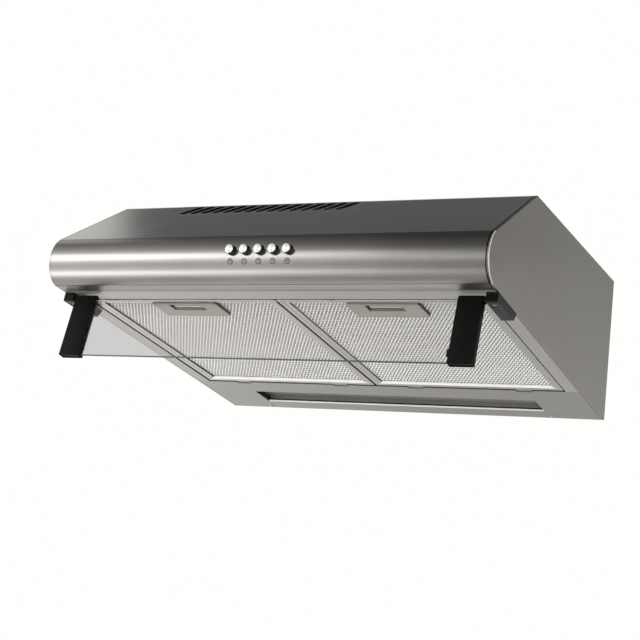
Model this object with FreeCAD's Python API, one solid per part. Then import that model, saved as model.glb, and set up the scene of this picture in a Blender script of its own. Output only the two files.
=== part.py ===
import FreeCAD, Part
import math
import os
from FreeCAD import Vector

# Wall-mounted cooker hood with a tilting glass visor.
# Frame: +X to the right of someone facing the hood, +Z up, the wall is the plane y = 0.
# The origin is halfway between the two wall fixing holes, on the wall.

# Overall form
hood_width = 600.0
hood_depth = 520.0
back_height = 204.0
underside_rise = 55.0
fixing_height = 150.0
sheet = 1.0
seam = 0.5
fit = 0.3
cut_over = 5.0

# Profile of the front, measured from the knee where the bulge meets the underside
bulge_reach = 20.0
bulge_height = 30.0
crease_lead = 5.0
crease_rise = 61.0
top_setback = 128.0
top_tuck = 16.0
lip_length = 19.0
lip_flange = 8.0

# Side panels
panel_lip = 3.0
panel_edge_radius = 0.8

# Slots in the sloping face
slot_count = 15
slot_pitch = 16.6
slot_length = 38.0
slot_width = 8.5
slot_lean = 22.0
slot_middle_x = -62.5
slot_top_margin = 23.0

# Push buttons
button_count = 5
button_pitch = 19.4
button_middle_x = 9.0
button_radius = 6.0
button_height = 38.0
button_proud = 8.0
button_body_length = 16.0
button_travel = 4.0
button_play = 0.4
button_edge = 0.7
stem_side = 4.0
stem_length = 11.0
switch_block_length = 112.0
switch_block_height = 26.0
switch_block_depth = 34.0

# Underside tray and rear strip
rail_end = 46.0
rear_strip_depth = 122.5
tray_flange = 14.0
light_back_margin = 31.0
light_depth = 48.0
light_side_margin = 78.0
light_recess = 10.0
back_flange = 14.0
bolt_slot_width = 18.0

# Light above the rear strip
cover_thickness = 2.0
cover_margin = 6.0
housing_height = 46.0
bulb_radius = 17.0
bulb_length = 96.0
bulb_cap_radius = 7.0
bulb_cap_length = 18.0
bulb_end_margin = 102.0
bulb_profile_shares = [(0, 0), (0.76, 0.24), (1, 0.62)]
holder_radius = 12.0
holder_length = 30.0

# Grease filters
filter_gap = 2.0
filter_side_play = 1.0
filter_front_play = 1.0
filter_rear_play = 2.0
filter_height = 9.0
filter_border = 15.0
filter_skin = 1.0
filter_hem = 3.2
filter_top_flange = 8.0
mesh_thickness = 2.2
mesh_columns = 8
mesh_rows = 10
mesh_hole_width_share = 0.66
mesh_hole_length_share = 0.7
tab_width = 22.0
tab_thickness = 1.2
tab_rest = 0.15
tab_spread = 80.0
tab_bead_radius = 1.2
tab_bead_back = 5.5
tab_notch = 5.8

# Filter handles and their latches
handle_width = 96.0
handle_length = 43.0
handle_proud = 1.0
handle_corner = 3.0
pocket_width = 48.0
pocket_start = 4.0
pocket_length = 18.5
pocket_depth = 12.0
pocket_wall = 1.5
latch_travel = 5.0
latch_bar_width = 42.0
latch_bar_length = 5.0
latch_bar_back = 8.0
latch_tongue_width = 15.0
latch_tongue_thickness = 2.0
latch_tongue_lift = 8.0
latch_play = 0.4

# Glass visor and its hinges
pivot_back = 30.0
pivot_drop = 7.7
visor_lean = 11.0
arm_thickness = 11.0
arm_width = 30.5
arm_drop = 81.0
arm_outer_inset = 19.0
arm_edge_radius = 0.8
arm_end_rim = 2.0
arm_end_recess = 1.0
glass_thickness = 4.0
glass_grip = 11.5
glass_top = 1.5
glass_bottom_margin = 2.0
gasket_wall = 1.0
nub_height = 12.0
nub_reach = 2.0
nub_margin = 5.0
pin_radius = 2.5
pin_clearance = 0.05
pin_in_arm = 11.0
pin_end_wall = 1.0
pin_end_play = 1.0
hinge_boss = 2.0
block_front = 24.0
block_length = 68.0
block_width = 14.7
block_side_gap = 1.1
block_height = 11.5
block_nose = 7.0
block_cap = 3.0
block_cap_recess = 0.6
block_cap_border = 2.2
block_corner_radius = 3.0
screw_radius = 1.8
screw_head_radius = 3.4
screw_crown_radius = 2.6
screw_head_height = 1.8
hinge_screw_back = 38.0
hinge_peg_spacing = 34.0
hinge_peg_radius = 2.5
hinge_peg_height = 3.0

# Duct outlet with its two flaps
duct_radius = 59.5
duct_wall = 2.0
duct_height = 40.0
duct_middle_y = -170.0
collar_flange_radius = 76.0
collar_flange = 2.0
flap_seat_height = 12.0
flap_seat_width = 2.6
flap_seat_thickness = 1.6
flap_thickness = 1.2
flap_gap = 0.7
flap_rod_radius = 1.5
flap_rod_offset = 2.4
flap_notch = 14.0
collar_screw_radius = 68.0
collar_screw_margin = 10.0
collar_screw_length = 6.0

# Blower
fan_middle_y = -215.0
fan_middle_height = 116.0
scroll_small_radius = 58.0
scroll_growth = 8.0
scroll_width = 104.0
scroll_wall = 2.0
scroll_cutoff = 8.0
scroll_inlet_radius = 43.0
wheel_radius = 50.0
wheel_depth = 9.0
wheel_side_gap = 6.0
wheel_plate = 2.0
wheel_hub_radius = 9.0
wheel_hub_length = 24.0
blade_count = 16
blade_thickness = 1.0
blade_lean = 22.0
blade_hollow = 1.4
blade_sink = 0.6
shaft_radius = 4.0
shaft_clearance = 0.05
shaft_overhang = 6.0
motor_radius = 34.0
motor_length = 46.0
motor_gap = 9.0
motor_end_slope = 6.0
motor_boss_radius = 12.0
motor_boss_length = 8.0
spoke_count = 3
spoke_width = 9.0
spoke_thickness = 3.0
spoke_ring_width = 8.0

# Electrical parts under the top
terminal_length = 84.0
terminal_width = 56.0
terminal_height = 34.0
terminal_wall = 2.0
terminal_side_inset = 95.0
terminal_middle_y = -150.0
gland_y = -60.0
gland_radius = 9.0
gland_bore_radius = 4.5
gland_height = 14.0
gland_nut_radius = 13.0
gland_nut_height = 6.0
capacitor_radius = 15.0
capacitor_length = 62.0
capacitor_side_inset = 110.0
capacitor_y = -150.0
capacitor_strap = 1.5
capacitor_strap_width = 12.0

# Fixing holes
wall_hole_inset = 50.0
wall_hole_radius = 3.5
cabinet_hole_inset = 70.0
cabinet_hole_front = 72.0
cabinet_hole_back = 60.0
cabinet_hole_radius = 2.75
strip_screw_inset = 72.0
strip_screw_back = 9.0
strip_screw_length = 5.0

# Derived places
half_width = hood_width / 2
bottom_z = -fixing_height
top_z = bottom_z + back_height
knee_y = -(hood_depth - bulge_reach)
knee_z = bottom_z + underside_rise
crease_y = knee_y - crease_lead
crease_z = knee_z + crease_rise
front_y = -hood_depth
front_z = knee_z + bulge_height
top_edge_y = knee_y + top_setback
underside_length = math.hypot(knee_y, underside_rise)
underside_slope = math.degrees(math.atan2(underside_rise, -knee_y))
slope_length = math.hypot(top_edge_y - crease_y, top_z - crease_z)
slope_angle = math.degrees(math.atan2(top_z - crease_z, top_edge_y - crease_y))
rear_strip_start = underside_length - rear_strip_depth
light_end = underside_length - light_back_margin
light_start = light_end - light_depth
light_half_length = half_width - light_side_margin
bulb_middle_x = light_half_length - bulb_end_margin
inner_half = half_width - panel_lip - seam
filter_zone = inner_half - block_width - panel_lip - seam
filter_width = filter_zone - filter_side_play - filter_gap / 2
filter_front = rail_end + filter_front_play
filter_length = rear_strip_start - filter_rear_play - filter_front
filter_middle = filter_gap / 2 + filter_width / 2
handle_front = filter_front + filter_border + fit
button_z = knee_z + button_height
terminal_middle_x = half_width - terminal_side_inset
gland_x = terminal_middle_x
capacitor_x = capacitor_side_inset - half_width
wall_hole_x = half_width - wall_hole_inset
cabinet_hole_x = half_width - cabinet_hole_inset
strip_screw_x = half_width - strip_screw_inset
fan_z = bottom_z + fan_middle_height
wheel_width = scroll_width - 2 * wheel_side_gap
x_axis = Vector(1, 0, 0)
y_axis = Vector(0, 1, 0)
z_axis = Vector(0, 0, 1)
origin = Vector(0, 0, 0)


def box(x0, x1, y0, y1, z0, z1):
    return Part.makeBox(x1 - x0, y1 - y0, z1 - z0, Vector(x0, y0, z0))


def on_underside(shape):
    """Places a shape drawn on a level underside, whose y starts at the knee, onto the sloping one."""
    shape = shape.copy()
    shape.rotate(origin, x_axis, -underside_slope)
    shape.translate(Vector(0, knee_y, knee_z))
    return shape


def on_slope(shape):
    """Places a shape drawn flat, whose y starts at the crease, onto the sloping top of the front."""
    shape = shape.copy()
    shape.rotate(origin, x_axis, slope_angle)
    shape.translate(Vector(0, crease_y, crease_z))
    return shape


def mirrored(shape):
    return shape.mirror(origin, x_axis)


def in_profile(y, z):
    return Vector(0, y, z)


def arc_about(start, end, centre):
    """The short arc from start to end round a centre, in the plane across the hood."""
    middle = (start + end) * 0.5 - centre
    middle.normalize()
    return Part.Arc(start, centre + middle * (start - centre).Length, end).toShape()


def bulge_arcs():
    """The two arcs of the rounded front, upright where they meet."""
    crease = in_profile(crease_y, crease_z)
    front = in_profile(front_y, front_z)
    knee = in_profile(knee_y, knee_z)
    arcs = []
    for start, end, corner in ((crease, front, crease), (front, knee, knee)):
        across = corner.y - front.y
        along = corner.z - front.z
        radius = (across**2 + along**2) / (2 * across)
        arcs.append(arc_about(start, end, in_profile(front_y + radius, front_z)))
    return arcs


def hood_outline():
    """The closed side profile of the whole hood."""
    back_bottom = in_profile(0, bottom_z)
    back_top = in_profile(0, top_z)
    top_edge = in_profile(top_edge_y, top_z)
    crease = in_profile(crease_y, crease_z)
    knee = in_profile(knee_y, knee_z)
    straights = [Part.makeLine(back_bottom, back_top), Part.makeLine(back_top, top_edge)]
    straights.append(Part.makeLine(top_edge, crease))
    return Part.Wire(straights + bulge_arcs() + [Part.makeLine(knee, back_bottom)])


def inside_outline(inset, x0, x1):
    """The room inside the profile, a given distance in from it, between two places along X."""
    face = Part.Face(hood_outline()).makeOffset2D(-inset)
    face.translate(Vector(x0, 0, 0))
    return face.extrude(Vector(x1 - x0, 0, 0))


def folded_sheet(edges, side, half_length):
    """A bent sheet of one thickness, its outer face along the path, the metal on the given side of it."""
    section = Part.Wire(edges).makeOffset2D(side * sheet, join=2, fill=True, openResult=True)
    section.translate(Vector(-half_length, 0, 0))
    return section.extrude(Vector(2 * half_length, 0, 0))


def side_panel():
    """A flat pressed side with a shallow lip turned in all round its edge."""
    blank = Part.Face(hood_outline()).extrude(Vector(panel_lip, 0, 0))
    blank.translate(Vector(half_width - panel_lip, 0, 0))
    outer_edges = [e for e in blank.Edges if e.BoundBox.XMin > half_width - sheet]
    blank = blank.makeFillet(panel_edge_radius, outer_edges)
    hollow = inside_outline(sheet, half_width - panel_lip - cut_over, half_width - sheet)
    return blank.cut(hollow)


def stadium(length, width, height):
    """A round-ended slot body, centred, long along Y."""
    half = (length - width) / 2
    radius = width / 2
    sides = [
        Part.makeLine(Vector(radius, -half, 0), Vector(radius, half, 0)),
        Part.Arc(Vector(radius, half, 0), Vector(0, half + radius, 0), Vector(-radius, half, 0)).toShape(),
        Part.makeLine(Vector(-radius, half, 0), Vector(-radius, -half, 0)),
        Part.Arc(Vector(-radius, -half, 0), Vector(0, -half - radius, 0), Vector(radius, -half, 0)).toShape(),
    ]
    return Part.Face(Part.Wire(sides)).extrude(Vector(0, 0, height))


def vent_slots():
    """The row of leaning slots near the top of the sloping face."""
    cutters = []
    for index in range(slot_count):
        slot = stadium(slot_length, slot_width, sheet + 2 * cut_over)
        slot.rotate(origin, z_axis, -slot_lean)
        x = slot_middle_x + (index - (slot_count - 1) / 2) * slot_pitch
        slot.translate(Vector(x, slope_length - slot_top_margin, -sheet - cut_over))
        cutters.append(on_slope(slot))
    return cutters


def button_places():
    return [button_middle_x + (index - (button_count - 1) / 2) * button_pitch for index in range(button_count)]


def front_fascia():
    """The stainless front: sloping vented face, rounded bulge and the lip under it, in one sheet."""
    tuck_z = top_z - sheet
    bend_y = top_edge_y - sheet / math.tan(math.radians(slope_angle))
    tuck = in_profile(top_edge_y + top_tuck, tuck_z)
    bend = in_profile(bend_y, tuck_z)
    crease = in_profile(crease_y, crease_z)
    knee = in_profile(knee_y, knee_z)
    along = Vector(0, math.cos(math.radians(underside_slope)), -math.sin(math.radians(underside_slope)))
    up = Vector(0, -along.z, along.y)
    lip_end = knee + along * lip_length
    flange_end = lip_end + up * lip_flange
    path = [Part.makeLine(tuck, bend), Part.makeLine(bend, crease)] + bulge_arcs()
    path += [Part.makeLine(knee, lip_end), Part.makeLine(lip_end, flange_end)]
    front = folded_sheet(path, -1, inner_half)
    cutters = vent_slots()
    for x in button_places():
        start = Vector(x, front_y - cut_over, button_z)
        cutters.append(Part.makeCylinder(button_radius + button_play, bulge_reach + cut_over, start, y_axis))
    return front.cut(cutters)


def body_shell():
    """The top and back of the case, one sheet, with the duct, cable and fixing holes."""
    slope = math.radians(underside_slope)
    foot = in_profile(0, bottom_z + sheet / math.cos(slope))
    flange_end = foot + Vector(0, -math.cos(slope), math.sin(slope)) * back_flange
    path = [
        Part.makeLine(in_profile(top_edge_y, top_z), in_profile(0, top_z)),
        Part.makeLine(in_profile(0, top_z), foot),
        Part.makeLine(foot, flange_end),
    ]
    case = folded_sheet(path, 1, inner_half)
    through_top = top_z - sheet - cut_over
    top_cut = sheet + 2 * cut_over
    holes = [Part.makeCylinder(duct_radius + fit, top_cut, Vector(0, duct_middle_y, through_top))]
    holes.append(Part.makeCylinder(gland_radius + fit, top_cut, Vector(gland_x, gland_y, through_top)))
    for sx in (-1, 1):
        for y in (-cabinet_hole_back, top_edge_y + cabinet_hole_front):
            place = Vector(sx * cabinet_hole_x, y, through_top)
            holes.append(Part.makeCylinder(cabinet_hole_radius, top_cut, place))
        wall_place = Vector(sx * wall_hole_x, -sheet - cut_over, 0)
        holes.append(Part.makeCylinder(wall_hole_radius, sheet + 2 * cut_over, wall_place, y_axis))
        strip_place = Vector(sx * strip_screw_x, underside_length - strip_screw_back, 0)
        hole = Part.makeCylinder(screw_radius + fit, sheet + cut_over, strip_place)
        holes.append(on_underside(hole))
    for angle in collar_screw_angles():
        place = collar_screw_place(angle, through_top)
        holes.append(Part.makeCylinder(screw_radius + fit, top_cut, place))
    return case.cut(holes)


def collar_screw_angles():
    return [math.radians(45 + 90 * quarter) for quarter in range(4)]


def collar_screw_place(angle, z):
    x = collar_screw_radius * math.cos(angle)
    y = duct_middle_y + collar_screw_radius * math.sin(angle)
    return Vector(x, y, z)


def underside_tray():
    """The sheet that carries the filters: a front rail and two sides, with upturned edges."""
    start = lip_length + seam
    opening_half = filter_zone
    tray = box(-inner_half, inner_half, start, rear_strip_start - seam, 0, sheet)
    edges = box(-inner_half, inner_half, start, rear_strip_start - seam, 0, tray_flange)
    inside = box(
        -inner_half + sheet, inner_half - sheet,
        start + sheet, rear_strip_start + cut_over, sheet, tray_flange + cut_over,
    )
    rim = box(
        -opening_half - sheet, opening_half + sheet,
        rail_end - sheet, rear_strip_start - seam, 0, tray_flange,
    )
    opening = box(
        -opening_half, opening_half,
        rail_end, rear_strip_start + cut_over, -cut_over, tray_flange + cut_over,
    )
    tray = tray.fuse([edges.cut(inside), rim]).cut(opening)
    cutters = []
    for side in (-1, 1):
        middle = side * filter_middle
        low = latch_tongue_lift - latch_play
        high = latch_tongue_lift + latch_tongue_thickness + latch_play
        slot = box(
            middle - bolt_slot_width / 2, middle + bolt_slot_width / 2,
            rail_end - sheet - cut_over, rail_end + cut_over, low, high,
        )
        cutters.append(slot)
        screw_place = Vector(side * hinge_middle_x(), hinge_screw_back, -cut_over)
        cutters.append(Part.makeCylinder(screw_radius + fit, 2 * cut_over, screw_place))
        peg_place = screw_place + Vector(0, hinge_peg_spacing, 0)
        cutters.append(Part.makeCylinder(hinge_peg_radius + fit, 2 * cut_over, peg_place))
    return on_underside(tray.cut(cutters).removeSplitter())


def rear_strip():
    """The strip behind the filters, with the long recess that frames the light."""
    strip = box(-inner_half, inner_half, rear_strip_start, underside_length - seam, 0, sheet)
    wall_top = sheet + light_recess
    frame = box(
        -light_half_length - sheet, light_half_length + sheet,
        light_start - sheet, light_end + sheet, 0, wall_top,
    )
    ledge = box(
        -light_half_length - cover_margin, light_half_length + cover_margin,
        light_start - cover_margin, light_end + cover_margin, wall_top - sheet, wall_top,
    )
    opening = box(
        -light_half_length, light_half_length, light_start, light_end, -cut_over, wall_top + cut_over
    )
    cutters = [opening]
    for side in (-1, 1):
        place = Vector(side * strip_screw_x, underside_length - strip_screw_back, -cut_over)
        cutters.append(Part.makeCylinder(screw_radius + fit, 2 * cut_over, place))
        for shift in (-tab_spread, tab_spread):
            middle = side * (filter_middle + shift)
            half = tab_width / 2 + latch_play
            cutters.append(box(middle - half, middle + half, rear_strip_start - cut_over,
                               rear_strip_start + tab_notch, -cut_over, cut_over))
    return on_underside(strip.fuse([frame, ledge]).cut(cutters).removeSplitter())


def cover_level():
    return sheet + light_recess


def light_cover():
    """The frosted strip that closes the light recess from above."""
    cover = box(
        -light_half_length - cover_margin, light_half_length + cover_margin,
        light_start - cover_margin, light_end + cover_margin,
        cover_level(), cover_level() + cover_thickness,
    )
    return on_underside(cover)


def light_housing():
    """The folded pan over the light, open downwards."""
    low = cover_level() + cover_thickness
    x = light_half_length + cover_margin
    front = light_start - cover_margin
    back = light_end + cover_margin
    pan = box(-x, x, front, back, low, low + housing_height)
    hollow = box(-x + sheet, x - sheet, front + sheet, back - sheet,
                 low - cut_over, low + housing_height - sheet)
    return on_underside(pan.cut(hollow))


def bulb_place():
    """Height and depth of the bulbs' common axis on the underside."""
    low = cover_level() + cover_thickness
    return (light_start + light_end) / 2, low + housing_height / 2


def light_bulb(side):
    """A candle-shaped bulb lying along the light, its cap towards the end of the housing."""
    depth, height = bulb_place()
    body_end = bulb_length - bulb_cap_length
    tip, shoulder, belly = [Vector(bulb_radius * r, 0, body_end * x) for r, x in bulb_profile_shares]
    root = Vector(bulb_cap_radius, 0, body_end)
    end = Vector(bulb_cap_radius, 0, bulb_length)
    edges = [
        Part.Arc(tip, shoulder, belly).toShape(),
        Part.makeLine(belly, root),
        Part.makeLine(root, end),
        Part.makeLine(end, Vector(0, 0, bulb_length)),
        Part.makeLine(Vector(0, 0, bulb_length), tip),
    ]
    bulb = Part.Face(Part.Wire(edges)).revolve(origin, z_axis, 360)
    bulb.rotate(origin, y_axis, 90)
    bulb.translate(Vector(bulb_middle_x - bulb_length / 2, depth, height))
    bulb = on_underside(bulb)
    return bulb if side > 0 else mirrored(bulb)


def bulb_holder(side):
    """The socket that takes the bulb's cap, standing on the end of the light housing."""
    depth, height = bulb_place()
    cap_start = bulb_middle_x + bulb_length / 2 - bulb_cap_length
    start = cap_start + fit
    wall = light_half_length + cover_margin - sheet
    holder = Part.makeCylinder(holder_radius, holder_length, Vector(start, depth, height), x_axis)
    foot = box(start + holder_length / 2, wall, depth - holder_radius / 2, depth + holder_radius / 2,
               height - holder_radius / 2, height + holder_radius / 2)
    seat = Vector(start, depth, height)
    bore = Part.makeCylinder(bulb_cap_radius + fit, bulb_cap_length + fit, seat, x_axis)
    holder = on_underside(holder.fuse(foot).cut(bore).removeSplitter())
    return holder if side > 0 else mirrored(holder)


def filter_frame(side):
    """The folded aluminium frame that holds the mesh, with two tabs at the back."""
    x0 = filter_middle - filter_width / 2
    x1 = filter_middle + filter_width / 2
    y0 = filter_front
    y1 = filter_front + filter_length
    b = filter_border
    s = filter_skin
    frame = box(x0, x1, y0, y1, 0, filter_height)
    opening = box(x0 + b, x1 - b, y0 + b, y1 - b, -cut_over, filter_hem)
    under_mesh = box(x0 + s, x1 - s, y0 + s, y1 - s, s, filter_hem)
    hem = box(x0 + b - s, x1 - b + s, y0 + b - s, y1 - b + s, s, filter_hem)
    seat = box(x0 + s, x1 - s, y0 + s, y1 - s, filter_hem, filter_height - s)
    t = filter_top_flange
    top = box(x0 + t, x1 - t, y0 + t, y1 - t, filter_hem, filter_height + cut_over)
    frame = frame.cut([under_mesh.cut(hem), opening, seat, top])
    tabs = []
    bead_y = rear_strip_start + tab_bead_back
    for shift in (-tab_spread, tab_spread):
        start = filter_middle + shift - tab_width / 2
        low = sheet + tab_rest
        tabs.append(box(start, start + tab_width, y1 - s, bead_y, low, low + tab_thickness))
        bead_at = Vector(start, bead_y, low + tab_bead_radius)
        tabs.append(Part.makeCylinder(tab_bead_radius, tab_width, bead_at, x_axis))
    low = latch_tongue_lift - latch_play
    half = latch_tongue_width / 2 + latch_play
    bolt_hole = box(filter_middle - half, filter_middle + half, y0 - cut_over, y0 + t + fit,
                    low, latch_tongue_lift + latch_tongue_thickness + latch_play)
    frame = on_underside(frame.fuse(tabs).cut(bolt_hole).removeSplitter())
    return frame if side > 0 else mirrored(frame)


def pocket_span():
    """Front and back of the finger pocket on the underside."""
    start = handle_front + pocket_start
    return start, start + pocket_length


def filter_mesh(side):
    """The pack of expanded metal: one plate pierced by rows of diamonds, notched for the handle."""
    x0 = filter_middle - filter_width / 2 + filter_skin
    x1 = filter_middle + filter_width / 2 - filter_skin
    y0 = filter_front + filter_skin
    y1 = filter_front + filter_length - filter_skin
    half = pocket_width / 2 + pocket_wall + fit
    notch_end = pocket_span()[1] + pocket_wall + fit
    corners = [
        (x0, y0), (filter_middle - half, y0), (filter_middle - half, notch_end),
        (filter_middle + half, notch_end), (filter_middle + half, y0), (x1, y0), (x1, y1), (x0, y1),
    ]
    outline = Part.makePolygon([Vector(x, y, 0) for x, y in corners + corners[:1]])
    left = filter_middle - filter_width / 2 + filter_border
    front = filter_front + filter_border
    pitch_x = (filter_width - 2 * filter_border) / mesh_columns
    pitch_y = (filter_length - 2 * filter_border) / mesh_rows
    dx = pitch_x * mesh_hole_width_share / 2
    dy = pitch_y * mesh_hole_length_share / 2
    wires = [outline]
    for column in range(mesh_columns):
        for row in range(mesh_rows):
            x = left + (column + 0.5) * pitch_x
            y = front + (row + 0.5) * pitch_y
            beside_handle = abs(x - filter_middle) > handle_width / 2 + dx
            if not beside_handle and y - dy < handle_front + handle_length:
                continue
            diamond = [(x - dx, y), (x, y - dy), (x + dx, y), (x, y + dy), (x - dx, y)]
            wires.append(Part.makePolygon([Vector(px, py, 0) for px, py in diamond]))
    mesh = Part.Face(wires, "Part::FaceMakerBullseye").extrude(Vector(0, 0, mesh_thickness))
    mesh.translate(Vector(0, 0, filter_hem))
    mesh = on_underside(mesh)
    return mesh if side > 0 else mirrored(mesh)


def rounded_plate(x0, x1, y0, y1, z0, z1, radius):
    """A plate with its four upright corners rounded."""
    plate = box(x0, x1, y0, y1, z0, z1)
    upright = [e for e in plate.Edges if e.BoundBox.ZLength > (z1 - z0) / 2]
    return plate.makeFillet(radius, upright)


def filter_handle(side):
    """The plastic handle plate, with a deep pocket for two fingers."""
    x0 = filter_middle - handle_width / 2
    x1 = filter_middle + handle_width / 2
    y1 = handle_front + handle_length
    plate = rounded_plate(x0, x1, handle_front, y1, -handle_proud, filter_hem, handle_corner)
    start, end = pocket_span()
    half = pocket_width / 2
    w = pocket_wall
    top = pocket_depth - handle_proud
    cup = box(filter_middle - half - w, filter_middle + half + w, start - w, end + w, 0, top + w)
    pocket = box(filter_middle - half, filter_middle + half, start, end, -cut_over, top)
    slot_half = latch_tongue_width / 2 + latch_play
    low = latch_tongue_lift - latch_play
    slot = box(filter_middle - slot_half, filter_middle + slot_half, start - w - cut_over, start + fit,
               low, latch_tongue_lift + latch_tongue_thickness + latch_play)
    handle = on_underside(plate.fuse(cup).cut([pocket, slot]).removeSplitter())
    return handle if side > 0 else mirrored(handle)


def filter_latch(side):
    """The sliding latch: a bar for the fingers and a tongue that reaches towards the front rail."""
    start, end = pocket_span()
    bar_start = start + latch_bar_back
    top = latch_tongue_lift + latch_tongue_thickness
    bar = box(filter_middle - latch_bar_width / 2, filter_middle + latch_bar_width / 2,
              bar_start, bar_start + latch_bar_length, handle_proud, top)
    upright = [e for e in bar.Edges if e.BoundBox.XLength > latch_bar_width / 2]
    bar = bar.makeFillet(latch_bar_length / 4, upright)
    tongue = box(filter_middle - latch_tongue_width / 2, filter_middle + latch_tongue_width / 2,
                 rail_end + fit, bar_start + latch_bar_length / 2, latch_tongue_lift, top)
    latch = on_underside(bar.fuse(tongue).removeSplitter())
    return latch if side > 0 else mirrored(latch)


def hinge_middle_x():
    return half_width - block_side_gap - block_width / 2


def pivot_place():
    """The visor's axis, seen from the side."""
    slope = math.radians(underside_slope)
    y = knee_y + pivot_back * math.cos(slope) - pivot_drop * math.sin(slope)
    z = knee_z - pivot_back * math.sin(slope) - pivot_drop * math.cos(slope)
    return y, z


def hinge_block(side):
    """The moulded block under the tray's side that carries one end of the visor."""
    x0 = hinge_middle_x() - block_width / 2
    front = block_front + block_cap
    back = block_front + block_length
    profile = [
        (front, 0), (back, 0), (back - block_nose, -block_height), (front, -block_height), (front, 0),
    ]
    outline = Part.makePolygon([Vector(x0, y, z) for y, z in profile])
    block = Part.Face(outline).extrude(Vector(block_width, 0, 0))
    low_back = [e for e in block.Edges if is_across(e, back - block_nose, -block_height)]
    block = block.makeFillet(block_corner_radius, low_back)
    at = Vector(hinge_middle_x(), hinge_screw_back, -block_height - cut_over)
    shank_hole = Part.makeCylinder(screw_radius + fit, block_height + 2 * cut_over, at)
    head_depth = screw_head_height + fit + cut_over
    head_hole = Part.makeCylinder(screw_head_radius + fit, head_depth, at)
    peg_place = Vector(hinge_middle_x(), hinge_screw_back + hinge_peg_spacing, -hinge_peg_height)
    peg = Part.makeCylinder(hinge_peg_radius, 2 * hinge_peg_height, peg_place)
    block = on_underside(block.fuse(peg).cut([shank_hole, head_hole]).removeSplitter())
    block = block.cut(pin_bore(pin_radius + pin_clearance))
    return block if side > 0 else mirrored(block)


def is_across(edge, y, z):
    """True for the edge along X that passes a given place in the side view."""
    if edge.BoundBox.XLength < block_width / 2:
        return False
    middle = edge.valueAt((edge.FirstParameter + edge.LastParameter) / 2)
    return math.hypot(middle.y - y, middle.z - z) < fit


def pin_bore(radius):
    y, z = pivot_place()
    start = hinge_middle_x() - block_width / 2 - cut_over
    length = cut_over + block_width - pin_end_wall
    return Part.makeCylinder(radius, length, Vector(start, y, z), x_axis)


def hinge_cap(side):
    """The square cap on the front of a hinge block."""
    x0 = hinge_middle_x() - block_width / 2
    x1 = x0 + block_width
    cap = box(x0, x1, block_front, block_front + block_cap, -block_height, 0)
    b = block_cap_border
    panel = box(x0 + b, x1 - b, block_front - cut_over, block_front + block_cap_recess, -block_height + b, -b)
    cap = on_underside(cap.cut(panel))
    return cap if side > 0 else mirrored(cap)


def leaning(shape):
    """Hangs a visor piece, drawn upright about the pivot, at its resting lean."""
    y, z = pivot_place()
    shape = shape.copy()
    shape.rotate(origin, x_axis, -visor_lean)
    shape.translate(Vector(0, y, z))
    return shape


def arm_span():
    outer = half_width - arm_outer_inset
    return outer - arm_width, outer


def visor_arm(side):
    """A moulded channel that grips one end of the glass, round at the pivot."""
    inner, outer = arm_span()
    half = arm_thickness / 2
    arm = box(inner, outer, -half, half, -arm_drop, 0)
    arm = arm.fuse(Part.makeCylinder(half, arm_width, Vector(inner, 0, 0), x_axis)).removeSplitter()
    long_edges = [e for e in arm.Edges if e.BoundBox.ZLength > arm_drop / 2]
    low_edges = [e for e in arm.Edges if e.BoundBox.ZMax < -arm_drop + fit]
    foot_edges = [e for e in low_edges if e.BoundBox.XLength > arm_width / 2]
    arm = arm.makeFillet(arm_edge_radius, long_edges + foot_edges)
    slot_half = glass_thickness / 2 + gasket_wall
    grip = glass_grip + gasket_wall
    glass_low = -arm_drop + glass_bottom_margin
    slot = box(inner - cut_over, inner + grip, -slot_half, slot_half, glass_low, -glass_top)
    nub_low = glass_low + nub_margin
    nub = Part.Face(Part.makePolygon([
        Vector(inner + nub_reach, -half + arm_edge_radius, nub_low),
        Vector(inner - nub_reach, -half + arm_edge_radius, nub_low + nub_reach),
        Vector(inner - nub_reach, -half + arm_edge_radius, nub_low + nub_height - nub_reach),
        Vector(inner + nub_reach, -half + arm_edge_radius, nub_low + nub_height),
        Vector(inner + nub_reach, -half + arm_edge_radius, nub_low),
    ])).extrude(Vector(0, half - arm_edge_radius - slot_half, 0))
    boss = Part.makeCylinder(half - arm_edge_radius, hinge_boss - fit, Vector(outer, 0, 0), x_axis)
    bore = Part.makeCylinder(pin_radius, pin_in_arm + cut_over, Vector(outer - pin_in_arm, 0, 0), x_axis)
    rim = arm_end_rim
    end = box(inner + rim, outer - rim, -half + rim, half - rim, -arm_drop - cut_over, -arm_drop + arm_end_recess)
    arm = arm.fuse([nub, boss]).cut([slot, bore, end]).removeSplitter()
    arm = leaning(arm)
    return arm if side > 0 else mirrored(arm)


def glass_gasket(side):
    """The rubber channel between an arm and the edge of the glass."""
    inner, outer = arm_span()
    slot_half = glass_thickness / 2 + gasket_wall
    glass_low = -arm_drop + glass_bottom_margin
    gasket = box(inner, inner + glass_grip + gasket_wall, -slot_half, slot_half, glass_low, -glass_top)
    groove = box(inner - cut_over, inner + glass_grip, -glass_thickness / 2, glass_thickness / 2,
                 glass_low - cut_over, -glass_top + cut_over)
    gasket = leaning(gasket.cut(groove))
    return gasket if side > 0 else mirrored(gasket)


def visor_glass():
    """The clear pane between the two arms."""
    edge = arm_span()[0] + glass_grip
    low = -arm_drop + glass_bottom_margin
    return leaning(box(-edge, edge, -glass_thickness / 2, glass_thickness / 2, low, -glass_top))


def hinge_pin(side):
    """The steel pin pressed into an arm and turning in its block."""
    outer = arm_span()[1]
    y, z = pivot_place()
    end = hinge_middle_x() + block_width / 2 - pin_end_wall - pin_end_play
    start = outer - pin_in_arm
    pin = Part.makeCylinder(pin_radius, end - start, Vector(start, y, z), x_axis)
    return pin if side > 0 else mirrored(pin)


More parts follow.
